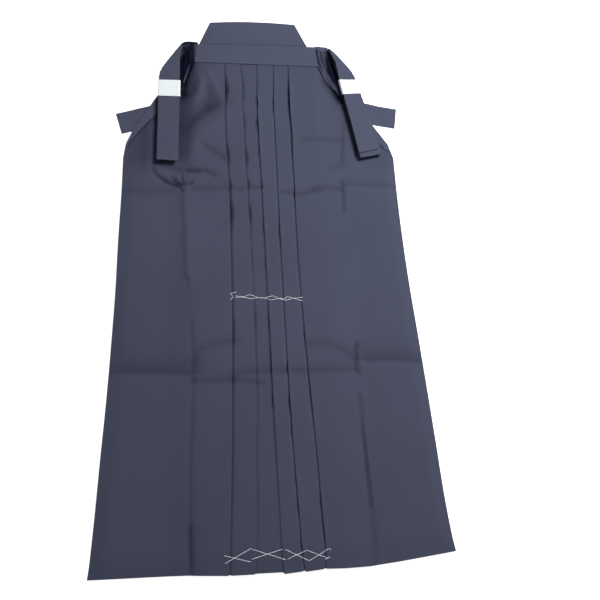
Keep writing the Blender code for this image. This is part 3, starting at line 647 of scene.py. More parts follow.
def beside_side_folds(points):
    """How much painted shade each point gets in the hollow along the inner edge of a side opening's fold."""
    x, y = points[..., 0], points[..., 1]
    depth = np.zeros(np.shape(x))
    for _, sign, column in SIDES:
        gap = (read(SIDE_FOLDS, column, y) - x) * sign
        shade = FOLD_SHADE * np.exp(-((gap / FOLD_SHADE_REACH) ** 2))
        depth = depth + np.where(gap > -FOLD_OVERLAP, shade, 0.0)
    for change in ALONG_FOLDS:
        depth = depth * changed(y, change)
    return depth


def at_pleat_feet(points):
    """How much painted shade each point gets in the hollow along the foot of a pleat's edge."""
    x, y = points[..., 0], points[..., 1]
    depth = np.zeros(np.shape(x))
    grown = PLEAT_HEM_SHADE + (1 - PLEAT_HEM_SHADE) * ease(y / PLEAT_FULL_SHADE)
    for number, (facing, plain, breadth, growth) in enumerate(PLEAT_FEET):
        away = (x - pleat_edge(number, y)) * facing
        lift = edge_lift(number, y)
        deep = plain * grown + PLEAT_LIFT_SHADE * lift
        reach = breadth + growth * lift
        depth = depth + np.where(away > -WALL / 2, deep * np.exp(-((away / reach) ** 4)), 0.0)
    return depth


def front_hollows(points):
    """How much painted shade each point of the front gets: a little all over, and more in its hollows."""
    hollows = beside_ties(points) + beside_side_folds(points) + at_pleat_feet(points)
    return FRONT_SHADE + hollows + in_troughs(points)


# ---- Paths across the front and back ----


def stations(top, row):
    """Heights of the rows of a panel."""
    return np.linspace(0.0, top, round(top / row) + 1)


def level_at(height):
    """The height of a stretch that stays level."""
    return lambda x, share: height + 0 * x


def eased(start, end):
    """The height of a stretch that eases from one height to another."""
    return lambda x, share: start + (end - start) * ease(share)


def on_panel(y):
    """The height of a stretch that lies on the front's uppermost layer."""
    return lambda x, share: panel_height(x, y)


def run(x_from, x_to, steps, height, levels=(2, 2)):
    """Columns (x, z, level, lift) of a plain stretch, from and to an x at each station."""
    columns = []
    for step in range(steps + 1):
        x = x_from + (x_to - x_from) * step / steps
        level = levels[0] + (levels[1] - levels[0]) * step / steps
        columns.append((x, height(x, step / steps), level, 0.0))
    return columns


def fold_columns(x, z_from, z_to, facing, levels, lift):
    """Columns round a fold whose edge is at x and faces +x (1) or -x (-1)."""
    radius = np.abs(z_to - z_from) / 2
    centre = x - facing * (radius + WALL / 2)
    turn = 1 if levels[1] > levels[0] else -1
    columns = []
    for step in range(FOLD_STEPS + 1):
        angle = turn * (-pi / 2 + pi * step / FOLD_STEPS)
        level = levels[0] + (levels[1] - levels[0]) * step / FOLD_STEPS
        z = (z_from + z_to) / 2 + radius * sin(angle)
        columns.append((centre + facing * radius * cos(angle), z, level, lift))
    return columns


def bumps(rows, y):
    """The sum of rows of place, half length and height, each a soft bump."""
    return sum(height * np.exp(-(((y - place) / half) ** 2)) for place, half, height in rows)


def pleat_edge(number, y):
    """Where a front pleat's folded edge runs."""
    return curve(PLEATS, number + 1, y) + bumps(PLEAT_BENDS[number], y)


def edge_lift(number, y):
    """How far a front pleat's folded edge lifts."""
    return bumps(PLEAT_LIFTS[number], y) * bpy.context.scene.hakama_shape.pleat_lift


def lifted(columns, pleat):
    """The same columns without their ends, with those near the pleat's edge lifted as the edge is."""
    placed = []
    for x, z, level, _ in columns[1:-1]:
        near = ease(1 - np.abs(pleat.edge - x) / PLEAT_LIFT_REACH)
        placed.append((x, z, level, pleat.lift * near))
    return placed


Pleat = namedtuple("Pleat", "edge depth lift")


def front_pleats(y):
    """The five front pleats at each station, from the wearer's right to left."""
    edges = [pleat_edge(number, y) for number in range(len(PLEAT_SPACINGS))]
    depths = [FRONT_PLEAT_DEPTH * (edges[b] - edges[a]) for a, b in PLEAT_SPACINGS]
    return [Pleat(edges[number], depths[number], edge_lift(number, y)) for number in range(len(edges))]


def leg_parting(pleats):
    """Where the two legs part, under the middle pleat."""
    return pleats[2].edge + LEG_PARTING * pleats[2].depth


def inner_right_columns(y, pleats):
    """Columns of the inner right width, whose two pleats face the wearer's left."""
    low, middle, high = (layer_height(y, level) for level in range(3))
    reached = -read(FALL, 1, y)
    columns = run(curve(SEAMS, 1, y) + SEAM / 2, reached, EDGE_COLUMNS, on_panel(y))
    first, second = pleats[:2]
    for pleat in (first, second):
        top, back = pleat.edge - FOLD, pleat.edge - pleat.depth
        columns += lifted(run(reached, top, FACE_COLUMNS, level_at(high)), pleat)
        columns += fold_columns(pleat.edge, high, middle, 1, (2, 1), pleat.lift)
        columns += lifted(run(top, back + FOLD, TUCK_COLUMNS, level_at(middle), (1, 1)), pleat)
        columns += fold_columns(back, middle, low, -1, (1, 0), 0.0)
        if pleat is first:
            columns += run(back + FOLD, pleat.edge, HIDDEN_COLUMNS, level_at(low), (0, 0))[1:]
            reached = pleat.edge + PLEAT_END
            columns += run(pleat.edge + PLEAT_RISE, reached, RISE_COLUMNS, eased(low, high), (0, 2))
    parting = leg_parting(pleats) - GAP / 2
    return columns + run(back + 2 * FOLD, parting, PARTING_COLUMNS[0], level_at(low), (0, 0))


def inner_left_columns(y, pleats):
    """Columns of the inner left width, whose three pleats face the wearer's right."""
    low, middle, high = (layer_height(y, level) for level in range(3))
    start = read(FALL, 1, y)
    back = pleats[2].edge + pleats[2].depth
    parting = leg_parting(pleats) + GAP / 2
    columns = run(parting, back - 2 * FOLD, PARTING_COLUMNS[1], level_at(low), (0, 0))
    for pleat, following in zip(pleats[2:], [*pleats[3:], None]):
        top, back = pleat.edge + FOLD, pleat.edge + pleat.depth
        reached = following.edge - PLEAT_END if following else start
        columns += fold_columns(back, low, middle, 1, (0, 1), 0.0)
        columns += lifted(run(back - FOLD, top, TUCK_COLUMNS, level_at(middle), (1, 1)), pleat)
        columns += fold_columns(pleat.edge, middle, high, -1, (1, 2), pleat.lift)
        columns += lifted(run(top, reached, FACE_COLUMNS, level_at(high)), pleat)
        if following:
            columns += run(reached, following.edge - PLEAT_RISE, RISE_COLUMNS, eased(high, low), (2, 0))
            hidden = following.edge + following.depth - FOLD
            columns += run(following.edge, hidden, HIDDEN_COLUMNS, level_at(low), (0, 0))[:-1]
    return columns + run(start, curve(SEAMS, 2, y) - SEAM / 2, EDGE_COLUMNS, on_panel(y))


def front_columns(y):
    """The four front widths as lists of columns, from the wearer's right to left."""
    pleats = front_pleats(y)
    seam_right, seam_left = curve(SEAMS, 1, y) - SEAM / 2, curve(SEAMS, 2, y) + SEAM / 2
    return {
        "front_outer_right": run(outline(1, y), seam_right, OUTER_COLUMNS, on_panel(y)),
        "front_inner_right": inner_right_columns(y, pleats),
        "front_inner_left": inner_left_columns(y, pleats),
        "front_outer_left": run(seam_left, outline(2, y), OUTER_COLUMNS, on_panel(y)),
    }


def back_columns(y):
    """The four back widths as lists of columns."""
    rise = np.maximum((y - SEAM_TOP) / (WAIST - SEAM_TOP), 0.0)
    low, middle, high = (CLOTH / 2 + level * LAYER + 0 * y for level in range(3))
    seam = BACK_SEAM + (BACK_WAIST_SEAM - BACK_SEAM) * rise
    columns = {}
    for side, sign, column in SIDES:
        edge = np.abs(outline(column, np.minimum(y, SEAM_TOP)))
        edge = edge + (BACK_WAIST_HALF - edge) * rise
        fold, parting = sign * (BACK_PLEAT_DEPTH - LAYER), sign * GAP / 2 + 0 * y
        inner = run(sign * (seam - GAP / 2), sign * (GAP / 2 + LAYER), BACK_COLUMNS, level_at(low), (0, 0))
        inner += fold_columns(parting, low, middle, -sign, (0, 1), 0.0)
        inner += run(sign * LAYER * 1.5, fold, BACK_PLEAT_COLUMNS, level_at(middle), (1, 1))
        inner += fold_columns(sign * BACK_PLEAT_DEPTH + 0 * y, middle, high, sign, (1, 2), 0.0)
        inner += run(fold, parting, BACK_PLEAT_COLUMNS, level_at(high))
        outer = run(sign * edge, sign * (seam + GAP / 2), BACK_COLUMNS, level_at(low), (0, 0))
        columns["back_outer_" + side] = outer
        columns["back_inner_" + side] = inner
    return columns


def front_hem(x, level):
    """The front's hem; the upper layers hang a little lower."""
    return read(FRONT_HEM, 1, x) - PLEAT_HEM_DROP * level / 2


def back_hem(x, level):
    """The back's hem, the same for every layer."""
    return read(BACK_HEM, 1, x)


def panel_points(columns, y, hem, rise):
    """Rows of mid points of a panel, with its hem and the relief of the resting cloth."""
    x, z, lift = (np.stack([column[part] + 0 * y for column in columns], axis=1) for part in (0, 1, 3))
    level = np.array([column[2] for column in columns])[None, :]
    line = hem(x, level)
    heights = y[:, None] + 0 * x
    heights = np.where(heights < HEM_BLEND, line + heights * (1 - line / HEM_BLEND), heights)
    return np.stack([x, heights, z + lift + rise * relief(x, heights)], axis=2)


# ---- Making and placing pieces ----


def cloth_grid(rows, closed=False, depths=None):
    """A grid moved on to rows of mid points, with a UV map that measures the cloth in metres.

    Its float attribute holds the shade painted on each point, from 0 for none to 1 for the deepest hollow.
    """
    rows = np.asarray(rows, float)
    depths = np.zeros(rows.shape[:2]) if depths is None else np.clip(depths, 0.0, 1.0)
    count, columns = rows.shape[:2]
    across = np.linalg.norm(np.diff(rows, axis=1), axis=2).cumsum(axis=1)
    across = np.concatenate([np.zeros((count, 1)), across], axis=1)
    along = np.linalg.norm(np.diff(rows, axis=0), axis=2).cumsum(axis=0)
    along = np.concatenate([np.zeros((1, columns)), along], axis=0)
    work = bmesh.new()
    uv_layer = work.loops.layers.uv.new("cloth")
    shade_layer = work.verts.layers.float.new("hollow")
    bmesh.ops.create_grid(work, x_segments=columns - 1, y_segments=count - 1, size=0.5)
    places = {}
    for corner in work.verts:
        i = round((corner.co.y + 0.5) * (count - 1))
        j = round((corner.co.x + 0.5) * (columns - 1))
        places[corner.index] = (i, j)
        corner.co = rows[i, j]
        corner[shade_layer] = depths[i, j]
    for face in work.faces:
        face.smooth = True
        for loop in face.loops:
            i, j = places[loop.vert.index]
            loop[uv_layer].uv = (across[i, j], along[i, j])
    if closed:
        bmesh.ops.remove_doubles(work, verts=work.verts, dist=MERGE)
    for edge in work.edges:
        if edge.is_boundary:
            edge.smooth = False
    return work


def add_piece(name, work, material, replaced=()):
    """Turn a bmesh into a piece that rides on the frame, over the garment's middle."""
    bmesh.ops.translate(work, verts=work.verts, vec=Vector((0.0, -MIDDLE, 0.0)))
    mesh = bpy.data.meshes.new(name)
    work.to_mesh(mesh)
    work.free()
    mesh.materials.append(material)
    piece = bpy.data.objects.new(name, mesh)
    bpy.context.scene.collection.objects.link(piece)
    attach(piece, "root")
    if replaced:
        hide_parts(*replaced)
    return piece


def finish_sheet(piece, wall):
    shell = piece.modifiers.new("wall", "SOLIDIFY")
    shell.thickness = wall
    shell.offset = 0.0


def add_cloth(name, work, wall):
    """Add a piece of the twill that stands for the frame's node of that name."""
    piece = add_piece(name + "_cloth", work, twill_material(), [name])
    finish_sheet(piece, wall)


# ---- Materials ----


def linear(code):
    """An sRGB hex code as linear red, green and blue."""
    values = [int(code[i : i + 2], 16) / 255 for i in (1, 3, 5)]
    return tuple(v / 12.92 if v <= 0.04045 else ((v + 0.055) / 1.055) ** 2.4 for v in values)


def set_inputs(tree, node, inputs):
    """Set a node's inputs, or link them to the outputs given for them."""
    for name, value in inputs.items():
        if isinstance(value, bpy.types.NodeSocket):
            tree.links.new(value, node.inputs[name])
        else:
            node.inputs[name].default_value = value


def add_node(tree, kind, inputs=None, **settings):
    """Add a node, with its settings, and with its inputs set or linked."""
    node = tree.nodes.new(kind)
    for name, value in settings.items():
        setattr(node, name, value)
    set_inputs(tree, node, inputs or {})
    return node


def new_material(name):
    """A new material, its node tree and its shader."""
    material = bpy.data.materials.new(name)
    material.use_nodes = True
    return material, material.node_tree, material.node_tree.nodes["Principled BSDF"]


def twill_material():
    """Polyester and rayon hakama twill, piece-dyed navy: close and matt, with a faint sheen."""
    if "navy_twill" in bpy.data.materials:
        return bpy.data.materials["navy_twill"]
    settings = bpy.context.scene.hakama_finishes
    material, tree, shader = new_material("navy_twill")
    cloth = add_node(tree, "ShaderNodeUVMap", uv_map="cloth").outputs["UV"]
    place = add_node(tree, "ShaderNodeTexCoord").outputs["Object"]
    # The real twill has about 0.4 mm between its lines, too fine to show, so it is drawn four times
    # as coarse.
    turned = add_node(tree, "ShaderNodeMapping", {"Vector": cloth, "Rotation": (0.0, 0.0, radians(27))})
    lines = {"Vector": turned.outputs[0], "Scale": WAVE / settings.twill_pitch, "Distortion": 0.4}
    twill = add_node(tree, "ShaderNodeTexWave", lines)
    # Slubs of about 2.4 mm in the yarn.
    slub = add_node(tree, "ShaderNodeTexNoise", {"Vector": cloth, "Scale": 420.0, "Detail": 3.0})
    weave = add_node(tree, "ShaderNodeMix", {0: 0.35, 2: twill.outputs["Fac"], 3: slub.outputs["Fac"]})
    # Soft waves about 26 mm across, drawn out along the cloth.
    drawn = add_node(tree, "ShaderNodeMapping", {"Vector": cloth, "Scale": (1.0, 0.3, 1.0)})
    wave = add_node(tree, "ShaderNodeTexNoise", {"Vector": drawn.outputs[0], "Scale": 38.0, "Detail": 2.0})
    broad = {"Strength": 0.30, "Distance": 0.002, "Height": wave.outputs["Fac"]}
    resting = add_node(tree, "ShaderNodeBump", broad).outputs["Normal"]
    fine = {"Strength": 0.10, "Distance": 0.0004, "Height": weave.outputs[0], "Normal": resting}
    bump = add_node(tree, "ShaderNodeBump", fine)
    # The dye is uneven over about 220 mm.
    cloudy = {"Vector": place, "Scale": 4.5, "Detail": 4.0, "Roughness": 0.55}
    dye = add_node(tree, "ShaderNodeTexNoise", cloudy)
    ramp = add_node(tree, "ShaderNodeValToRGB", {"Fac": dye.outputs["Fac"]})
    for stop, where, tint in ((0, 0.3, 0.95), (1, 0.7, 1.05)):
        ramp.color_ramp.elements[stop].position = where
        ramp.color_ramp.elements[stop].color = (*(c * tint for c in settings.cloth), 1.0)
    # Painted shade: the colour is mixed towards that of the cloth in shade by the shade painted on each
    # point.
    depth = add_node(tree, "ShaderNodeAttribute", attribute_name="hollow").outputs["Fac"]
    shades = {0: depth, 6: ramp.outputs["Color"], 7: (*settings.cloth_in_shade, 1.0)}
    shaded_colour = add_node(tree, "ShaderNodeMix", shades, data_type="RGBA")
    finish = {
        "Base Color": shaded_colour.outputs[2],
        "Normal": bump.outputs["Normal"],
        "Roughness": 0.8,
        "Specular IOR Level": 0.08,
        "Sheen Weight": 0.03,
        "Sheen Roughness": 0.4,
        "Sheen Tint": (*linear("#C4CFF3"), 1.0),
    }
    set_inputs(tree, shader, finish)
    return material


def paper_material():
    """Thin bleached paper, uncoated: matt, with a cool white and faint fibres."""
    settings = bpy.context.scene.hakama_finishes
    material, tree, shader = new_material("white_paper")
    place = add_node(tree, "ShaderNodeTexCoord").outputs["Object"]
    # Fibres of about 1 mm, and the paper's cockles about 17 mm apart.
    fibres = add_node(tree, "ShaderNodeTexNoise", {"Vector": place, "Scale": 900.0, "Detail": 5.0})
    cockle = add_node(tree, "ShaderNodeTexNoise", {"Vector": place, "Scale": 60.0, "Detail": 2.0})
    mixed = add_node(tree, "ShaderNodeMix", {0: 0.5, 2: fibres.outputs["Fac"], 3: cockle.outputs["Fac"]})
    raised = {"Strength": 0.15, "Distance": 0.0004, "Height": mixed.outputs[0]}
    bump = add_node(tree, "ShaderNodeBump", raised)
    ramp = add_node(tree, "ShaderNodeValToRGB", {"Fac": cockle.outputs["Fac"]})
    for stop, where, tint in ((0, 0.3, 0.97), (1, 0.7, 1.0)):
        ramp.color_ramp.elements[stop].position = where
        ramp.color_ramp.elements[stop].color = (*(c * tint for c in settings.paper), 1.0)
    finish = {"Base Color": ramp.outputs["Color"], "Normal": bump.outputs["Normal"], "Roughness": 0.75}
    set_inputs(tree, shader, finish)
    return material


def thread_material(name):
    """Spun cotton thread, two plies twisted: matt, with the twist as fine bands."""
    settings = bpy.context.scene.hakama_finishes
    colour = {"white_thread": settings.thread, "navy_thread": settings.stitches}[name]
    material, tree, shader = new_material(name)
    place = add_node(tree, "ShaderNodeTexCoord").outputs["Object"]
    turns = {"Vector": place, "Scale": WAVE / THREAD_TWIST}
    twist = add_node(tree, "ShaderNodeTexWave", turns, bands_direction="DIAGONAL")
    raised = {"Strength": 0.4, "Distance": 0.0002, "Height": twist.outputs["Fac"]}
    bump = add_node(tree, "ShaderNodeBump", raised)
    ramp = add_node(tree, "ShaderNodeValToRGB", {"Fac": twist.outputs["Fac"]})
    for stop, tint in ((0, 0.85), (1, 1.0)):
        ramp.color_ramp.elements[stop].color = (*(c * tint for c in colour), 1.0)
    finish = {"Base Color": ramp.outputs["Color"], "Normal": bump.outputs["Normal"], "Roughness": 0.8}
    set_inputs(tree, shader, finish)
    return material


def floor_material():
    """Pale studio floor: matt, almost even, and lit a little from itself."""
    material, tree, shader = new_material("pale_floor")
    place = add_node(tree, "ShaderNodeTexCoord").outputs["Object"]
    grain = add_node(tree, "ShaderNodeTexNoise", {"Vector": place, "Scale": 3.0})
    ramp = add_node(tree, "ShaderNodeValToRGB", {"Fac": grain.outputs["Fac"]})
    for stop, code in ((0, "#F6F8F8"), (1, "#FBFBFB")):
        ramp.color_ramp.elements[stop].color = (*linear(code), 1.0)
    finish = {
        "Base Color": ramp.outputs["Color"],
        "Roughness": 0.9,
        "Emission Color": (*linear("#FFFFFF"), 1.0),
        "Emission Strength": 0.85,
    }
    set_inputs(tree, shader, finish)
    return material


# ---- Properties ----

RGB = {"size": 3, "min": 0.0, "max": 1.0}


class HakamaFinishes(bpy.types.PropertyGroup):
    """Colours and fine sizes of the garment's finishes."""

    cloth: bpy.props.FloatVectorProperty(
        name="Cloth",
        description="Colour of the navy twill",
        default=linear("#515568"),
        subtype="COLOR",
        **RGB,
    )
    # Painted shade: the colour painted on the twill where it lies in shade between its folds.
    cloth_in_shade: bpy.props.FloatVectorProperty(
        name="Cloth in hollows",
        description="Colour of the navy twill deep between its folds",
        default=linear("#0A0D1F"),
        subtype="COLOR",
        **RGB,
    )
    paper: bpy.props.FloatVectorProperty(
        name="Paper",
        description="Colour of the paper bands",
        default=linear("#F5FDFE"),
        subtype="COLOR",
        **RGB,
    )
    thread: bpy.props.FloatVectorProperty(
        name="Tacking thread",
        description="Colour of the white tacking thread",
        default=linear("#F4F6FC"),
        subtype="COLOR",
        **RGB,
    )
    stitches: bpy.props.FloatVectorProperty(
        name="Stitching thread",
        description="Colour of the waistband's stitches",
        default=linear("#2C324A"),
        subtype="COLOR",
        **RGB,
    )
    twill_pitch: bpy.props.FloatProperty(
        name="Twill pitch",
        description="Distance between the lines of the twill",
        default=0.0016,
        unit="LENGTH",
        min=0.0002,
        precision=4,
    )


class HakamaShape(bpy.types.PropertyGroup):
    """How the resting cloth lies, and how thick its threads are."""

    puff: bpy.props.FloatProperty(
        name="Puff",
        description="How far the front stands off the layers below it",
        default=0.0038,
        unit="LENGTH",
        min=0.0,
        max=0.006,
        precision=4,
    )
    swell: bpy.props.FloatProperty(
        name="Swell",
        description="How far the broad unevenness of the front rises and falls",
        default=0.0006,
        unit="LENGTH",
        min=0.0,
        max=0.002,
        precision=4,
    )
    creasing: bpy.props.FloatProperty(
        name="Creasing",
        description="Share of their full depth that the creases have",
        default=1.0,
        subtype="FACTOR",
        min=0.0,
        max=1.5,
    )
    pleat_lift: bpy.props.FloatProperty(
        name="Pleat lift",
        description="Share of their full height that the pleats' edges lift",
        default=1.0,
        subtype="FACTOR",
        min=0.0,
        max=1.5,
    )
    tacking: bpy.props.FloatProperty(
        name="Tacking thread",
        description="Thickness of the white tacking thread",
        default=0.0009,
        unit="LENGTH",
        min=0.0003,
        precision=4,
    )
    stitch: bpy.props.FloatProperty(
        name="Stitch",
        description="Length of a stitch in the waistband",
        default=0.0032,
        unit="LENGTH",
        min=0.0015,
        precision=4,
    )


# ---- Widths, band and board ----


class HAKAMA_OT_back_widths(bpy.types.Operator):
    """Lay the four back widths"""

    bl_idname = "hakama.back_widths"
    bl_label = "Back Widths"

    def execute(self, context):
        y = stations(WAIST - GAP, BACK_ROW)
        rise = BACK_RELIEF * changed(y, BACK_LOOSE)[:, None]
        for name, columns in back_columns(y).items():
            add_cloth(name, cloth_grid(panel_points(columns, y, back_hem, rise)), WALL)
        return {"FINISHED"}


class HAKAMA_OT_front_widths(bpy.types.Operator):
    """Lay the four front widths, folded into five pleats"""

    bl_idname = "hakama.front_widths"
    bl_label = "Front Widths"

    def execute(self, context):
        y = stations(PANEL_TOP, PANEL_ROW)
        for name, columns in front_columns(y).items():
            points = panel_points(columns, y, front_hem, 1.0)
            # Painted shade in the widths' hollows, and a little over all of them.
            add_cloth(name, cloth_grid(points, depths=front_hollows(points)), WALL)
        return {"FINISHED"}


class HAKAMA_OT_side_folds(bpy.types.Operator):
    """Lay the folds along the slanting side openings"""

    bl_idname = "hakama.side_folds"
    bl_label = "Side Folds"

    def execute(self, context):
        y = np.linspace(SIDE_FOLDS[0][0], SIDE_FOLDS[-1][0], SIDE_FOLD_ROWS)
        for side, sign, column in SIDES:
            outer = outline(column, y) - sign * WALL
            inner = read(SIDE_FOLDS, column, y)
            columns = []
            for step in range(SIDE_FOLD_COLUMNS + 1):
                x = outer + (inner - outer) * step / SIDE_FOLD_COLUMNS
                z = panel_height(x, y) + relief(x, y) + LAYER
                columns.append(np.stack([x, y, z], axis=1))
            work = cloth_grid(np.array(columns).transpose(1, 0, 2))
            add_cloth("side_fold_" + side, work, WALL)
        return {"FINISHED"}


def band_face(share):
    """Height of the band's face, drawn in a little along its rows of stitches."""
    inset = sum(exp(-(((share - row) / BAND_STITCH_BREADTH) ** 2)) for row in BAND_STITCHES)
    return BAND_FRONT - BAND_STITCH_INSET * inset


def band_row(x_lower, x_upper, y_lower, y_upper):
    """Points over the band, from its lower edge behind, round its upper edge and down its face."""
    radius = (BAND_FRONT - BAND_REAR) / 2
    low, top = (x_lower, y_lower), (x_upper, y_upper - CLOTH / 2 - radius)
    lap = (x_lower, y_lower + BAND_LAP)
    row = [(*between(lap, top, step / BAND_REAR_COLUMNS), BAND_REAR) for step in range(BAND_REAR_COLUMNS)]
    for step in range(BAND_FOLD_COLUMNS + 1):
        angle = -pi / 2 + pi * step / BAND_FOLD_COLUMNS
        z = (BAND_REAR + BAND_FRONT) / 2 + radius * sin(angle)
        row.append((x_upper, top[1] + radius * cos(angle), z))
    for step in range(1, BAND_FACE_COLUMNS + 1):
        share = 1 - step / BAND_FACE_COLUMNS
        row.append((*between(low, top, share), band_face(share)))
    return row


def band_stitches():
    """Five rows of stitches through the band, as one mesh."""
    length = bpy.context.scene.hakama_shape.stitch
    share, width, height = STITCH_SIZE
    size = Vector((length * share, width, height))
    work = bmesh.new()
    for row in BAND_STITCHES:
        ends = []
        for end in (BAND_RIGHT, BAND_LEFT):
            lower, upper = (end.x_lower, end.y_lower), (end.x_upper, end.y_upper)
            ends.append(Vector((*between(lower, upper, row), band_face(row) + CLOTH / 2)))
        along = ends[1] - ends[0]
        turn = Euler((0.0, 0.0, along.to_2d().angle_signed(Vector((1.0, 0.0)))))
        count = round(along.length / length)
        for number in range(count):
            place = ends[0].lerp(ends[1], (number + 0.5) / count)
            spot = Matrix.LocRotScale(place, turn, size)
            bmesh.ops.create_icosphere(work, subdivisions=1, radius=1.0, matrix=spot)
    return work


class HAKAMA_OT_front_band(bpy.types.Operator):
    """Fold the waistband over the upper ends of the front widths, and stitch it through"""

    bl_idname = "hakama.front_band"
    bl_label = "Front Band"

    def execute(self, context):
        ends = (between(BAND_RIGHT, BAND_LEFT, step / BAND_ROWS) for step in range(BAND_ROWS + 1))
        work = cloth_grid([band_row(*end) for end in ends])
        add_cloth("front_band", work, CLOTH)
        add_piece("band_stitches", band_stitches(), thread_material("navy_thread"))
        return {"FINISHED"}


def slice_across(work, place, axis):
    """Cut edges through a mesh at a place along x (0) or y (1)."""
    normal = Vector((1.0, 0.0, 0.0)) if axis == 0 else Vector((0.0, 1.0, 0.0))
    parts = [*work.verts, *work.edges, *work.faces]
    bmesh.ops.bisect_plane(work, geom=parts, plane_co=normal * place, plane_no=normal)


class HAKAMA_OT_back_board(bpy.types.Operator):
    """Make the cloth-covered board at the back of the waist"""

    bl_idname = "hakama.back_board"
    bl_label = "Back Board"

    def execute(self, context):
        work = bmesh.new()
        bmesh.ops.create_cube(work, size=1.0)
        for corner in work.verts:
            ends = BOARD_LOWER if corner.co.y < 0 else BOARD_UPPER
            x = ends[0] if corner.co.x < 0 else ends[1]
            y = WAIST if corner.co.y < 0 else LENGTH + BOARD_RISE
            corner.co = (x, y, BOARD_THICKNESS if corner.co.z > 0 else 0.0)
        rim = [edge for edge in work.edges if all(v.co.z > 0 for v in edge.verts)]
        rim += [edge for edge in work.edges if edge.verts[0].co.z != edge.verts[1].co.z]
        bmesh.ops.bevel(
            work, geom=rim, offset=BOARD_ROUND, segments=4, profile=0.5, affect="EDGES", material=-1
        )
        for step in range(1, BOARD_COLUMNS):
            slice_across(work, BOARD_LOWER[0] + (BOARD_LOWER[1] - BOARD_LOWER[0]) * step / BOARD_COLUMNS, 0)
        for corner in work.verts:
            share = (corner.co.y - WAIST) / (LENGTH - WAIST)
            corner.co.y += BOARD_CROWN * share * max(1 - (corner.co.x / BOARD_UPPER[1]) ** 2, 0.0)
        start, middle, end = (BAND_RIGHT.y_upper + step for step in BOARD_CONTACT)
        for place in (start, end):
            slice_across(work, place, 1)
        uv_layer = work.loops.layers.uv.new("cloth")
        shade_layer = work.verts.layers.float.new("hollow")
        # Painted shadow on the board's cloth along the band's upper edge.
        for corner in work.verts:
            corner[shade_layer] = BOARD_SHADE if corner.co.y < middle else 0.0
        for face in work.faces:
            face.smooth = True
            for loop in face.loops:
                loop[uv_layer].uv = (loop.vert.co.x + loop.vert.co.z, loop.vert.co.y + loop.vert.co.z)
        piece = add_piece("back_board_cloth", work, twill_material(), ["back_board"])
        piece.data.set_sharp_from_angle(angle=radians(BOARD_SHARP))
        return {"FINISHED"}


# ---- Back ties ----


def back_tie_rows(table, ends_y):
    """Rows across a back tie, which runs straight from its free end."""
    first, last = table[0][0], table[-1][0]
    slope = (ends_y[1] - ends_y[0]) / (last - first)
    along = Vector((1.0, slope, 0.0)).normalized()
    across = Vector((-along.y, along.x, 0.0)) * BACK_TIE_WIDTH / 2
    rows = []
    for step in range(BACK_TIE_ROWS + 1):
        x = first + (last - first) * step / BACK_TIE_ROWS
        middle = Vector((x, ends_y[0] + slope * (x - first), float(read(sorted(table), 1, x))))
        shares = (2 * column / BACK_TIE_COLUMNS - 1 for column in range(BACK_TIE_COLUMNS + 1))
        rows.append([middle + across * share for share in shares])
    return rows


class HAKAMA_OT_back_ties(bpy.types.Operator):
    """Lay the back ties, whose free ends show past the sides"""

    bl_idname = "hakama.back_ties"
    bl_label = "Back Ties"

    def execute(self, context):
        ties = (("left", BACK_TIE_LEFT, BACK_TIE_LEFT_Y), ("right", BACK_TIE_RIGHT, BACK_TIE_RIGHT_Y))
        for side, table, ends_y in ties:
            add_cloth("back_tie_" + side, cloth_grid(back_tie_rows(table, ends_y)), TIE_WALL)
        return {"FINISHED"}


# ---- Front ties ----


def tie_height(y, number):
    """Mid height of one of a front tie's folded lengths; the paper passes under all but the first."""
    room = PAPER_ROOM if number else 0.0
    return read(TIE_BED, 1, y) + TIE_WALL / 2 + number * TIE_LAYER + room


def across_tie(inner, outer):
    """Places from a front tie's inner edge to its outer one."""
    return [between(inner, outer, step / TIE_COLUMNS) for step in range(TIE_COLUMNS + 1)]


def up_tie(low, high, share):
    """Places at a share of the way from one row of places to another."""
    return [between(first, second, share) for first, second in zip(low, high)]


def tie_turn(inner, outer):
    """Rows from the band's end down to the first length, crumpled and lying on the front."""
    rows = []
    for step in range(TURN_ROWS + 1):
        share = step / TURN_ROWS
        ends = []
        for edge in (inner, outer):
            course = np.c_[np.arange(len(edge.turn)), edge.turn]
            ends.append([float(curve(course, axis, (len(edge.turn) - 1) * share)) for axis in (1, 2)])
        points = np.array(across_tie(*ends))
        x, y = points[:, 0], points[:, 1]
        nearer = x - np.copysign(TIE_STIFFNESS, x)
        top = np.minimum(y, PANEL_TOP)
        lies_on = np.maximum(panel_height(x, top), panel_height(nearer, top))
        z = np.maximum(tie_height(y, 0), lies_on + CLOTH / 2 + TIE_WALL / 2 + GAP)
        sewn = changed(share, TURN_SEWN)
        z = z * (1 - sewn) + (BAND_FRONT + GAP) * sewn
        crumple = sum(ridge(line, x, y) for line in TIE_CREASES)
        z = z + crumple * changed(share, TURN_LOOSE) * changed(y, TURN_ABOVE) * changed(share, TURN_END)
        rows.append(np.stack([x, y, z], axis=1))
    return rows


def tie_fold(points, away, run_from, run_to):
    """Rows round a fold at the foot or top of the hidden lengths; away is +1 at the top."""
    rows = []
    for step in range(FOLD_STEPS + 1):
        angle = -pi / 2 + pi * step / FOLD_STEPS
        row = []
        for x, y in points:
            low, high = tie_height(y, run_from), tie_height(y, run_to)
            radius = (high - low) / 2
            shift = away * (radius * cos(angle) - radius - TIE_WALL / 2)
            row.append((x, y + shift, (low + high) / 2 + radius * sin(angle)))
        rows.append(row)
    return rows


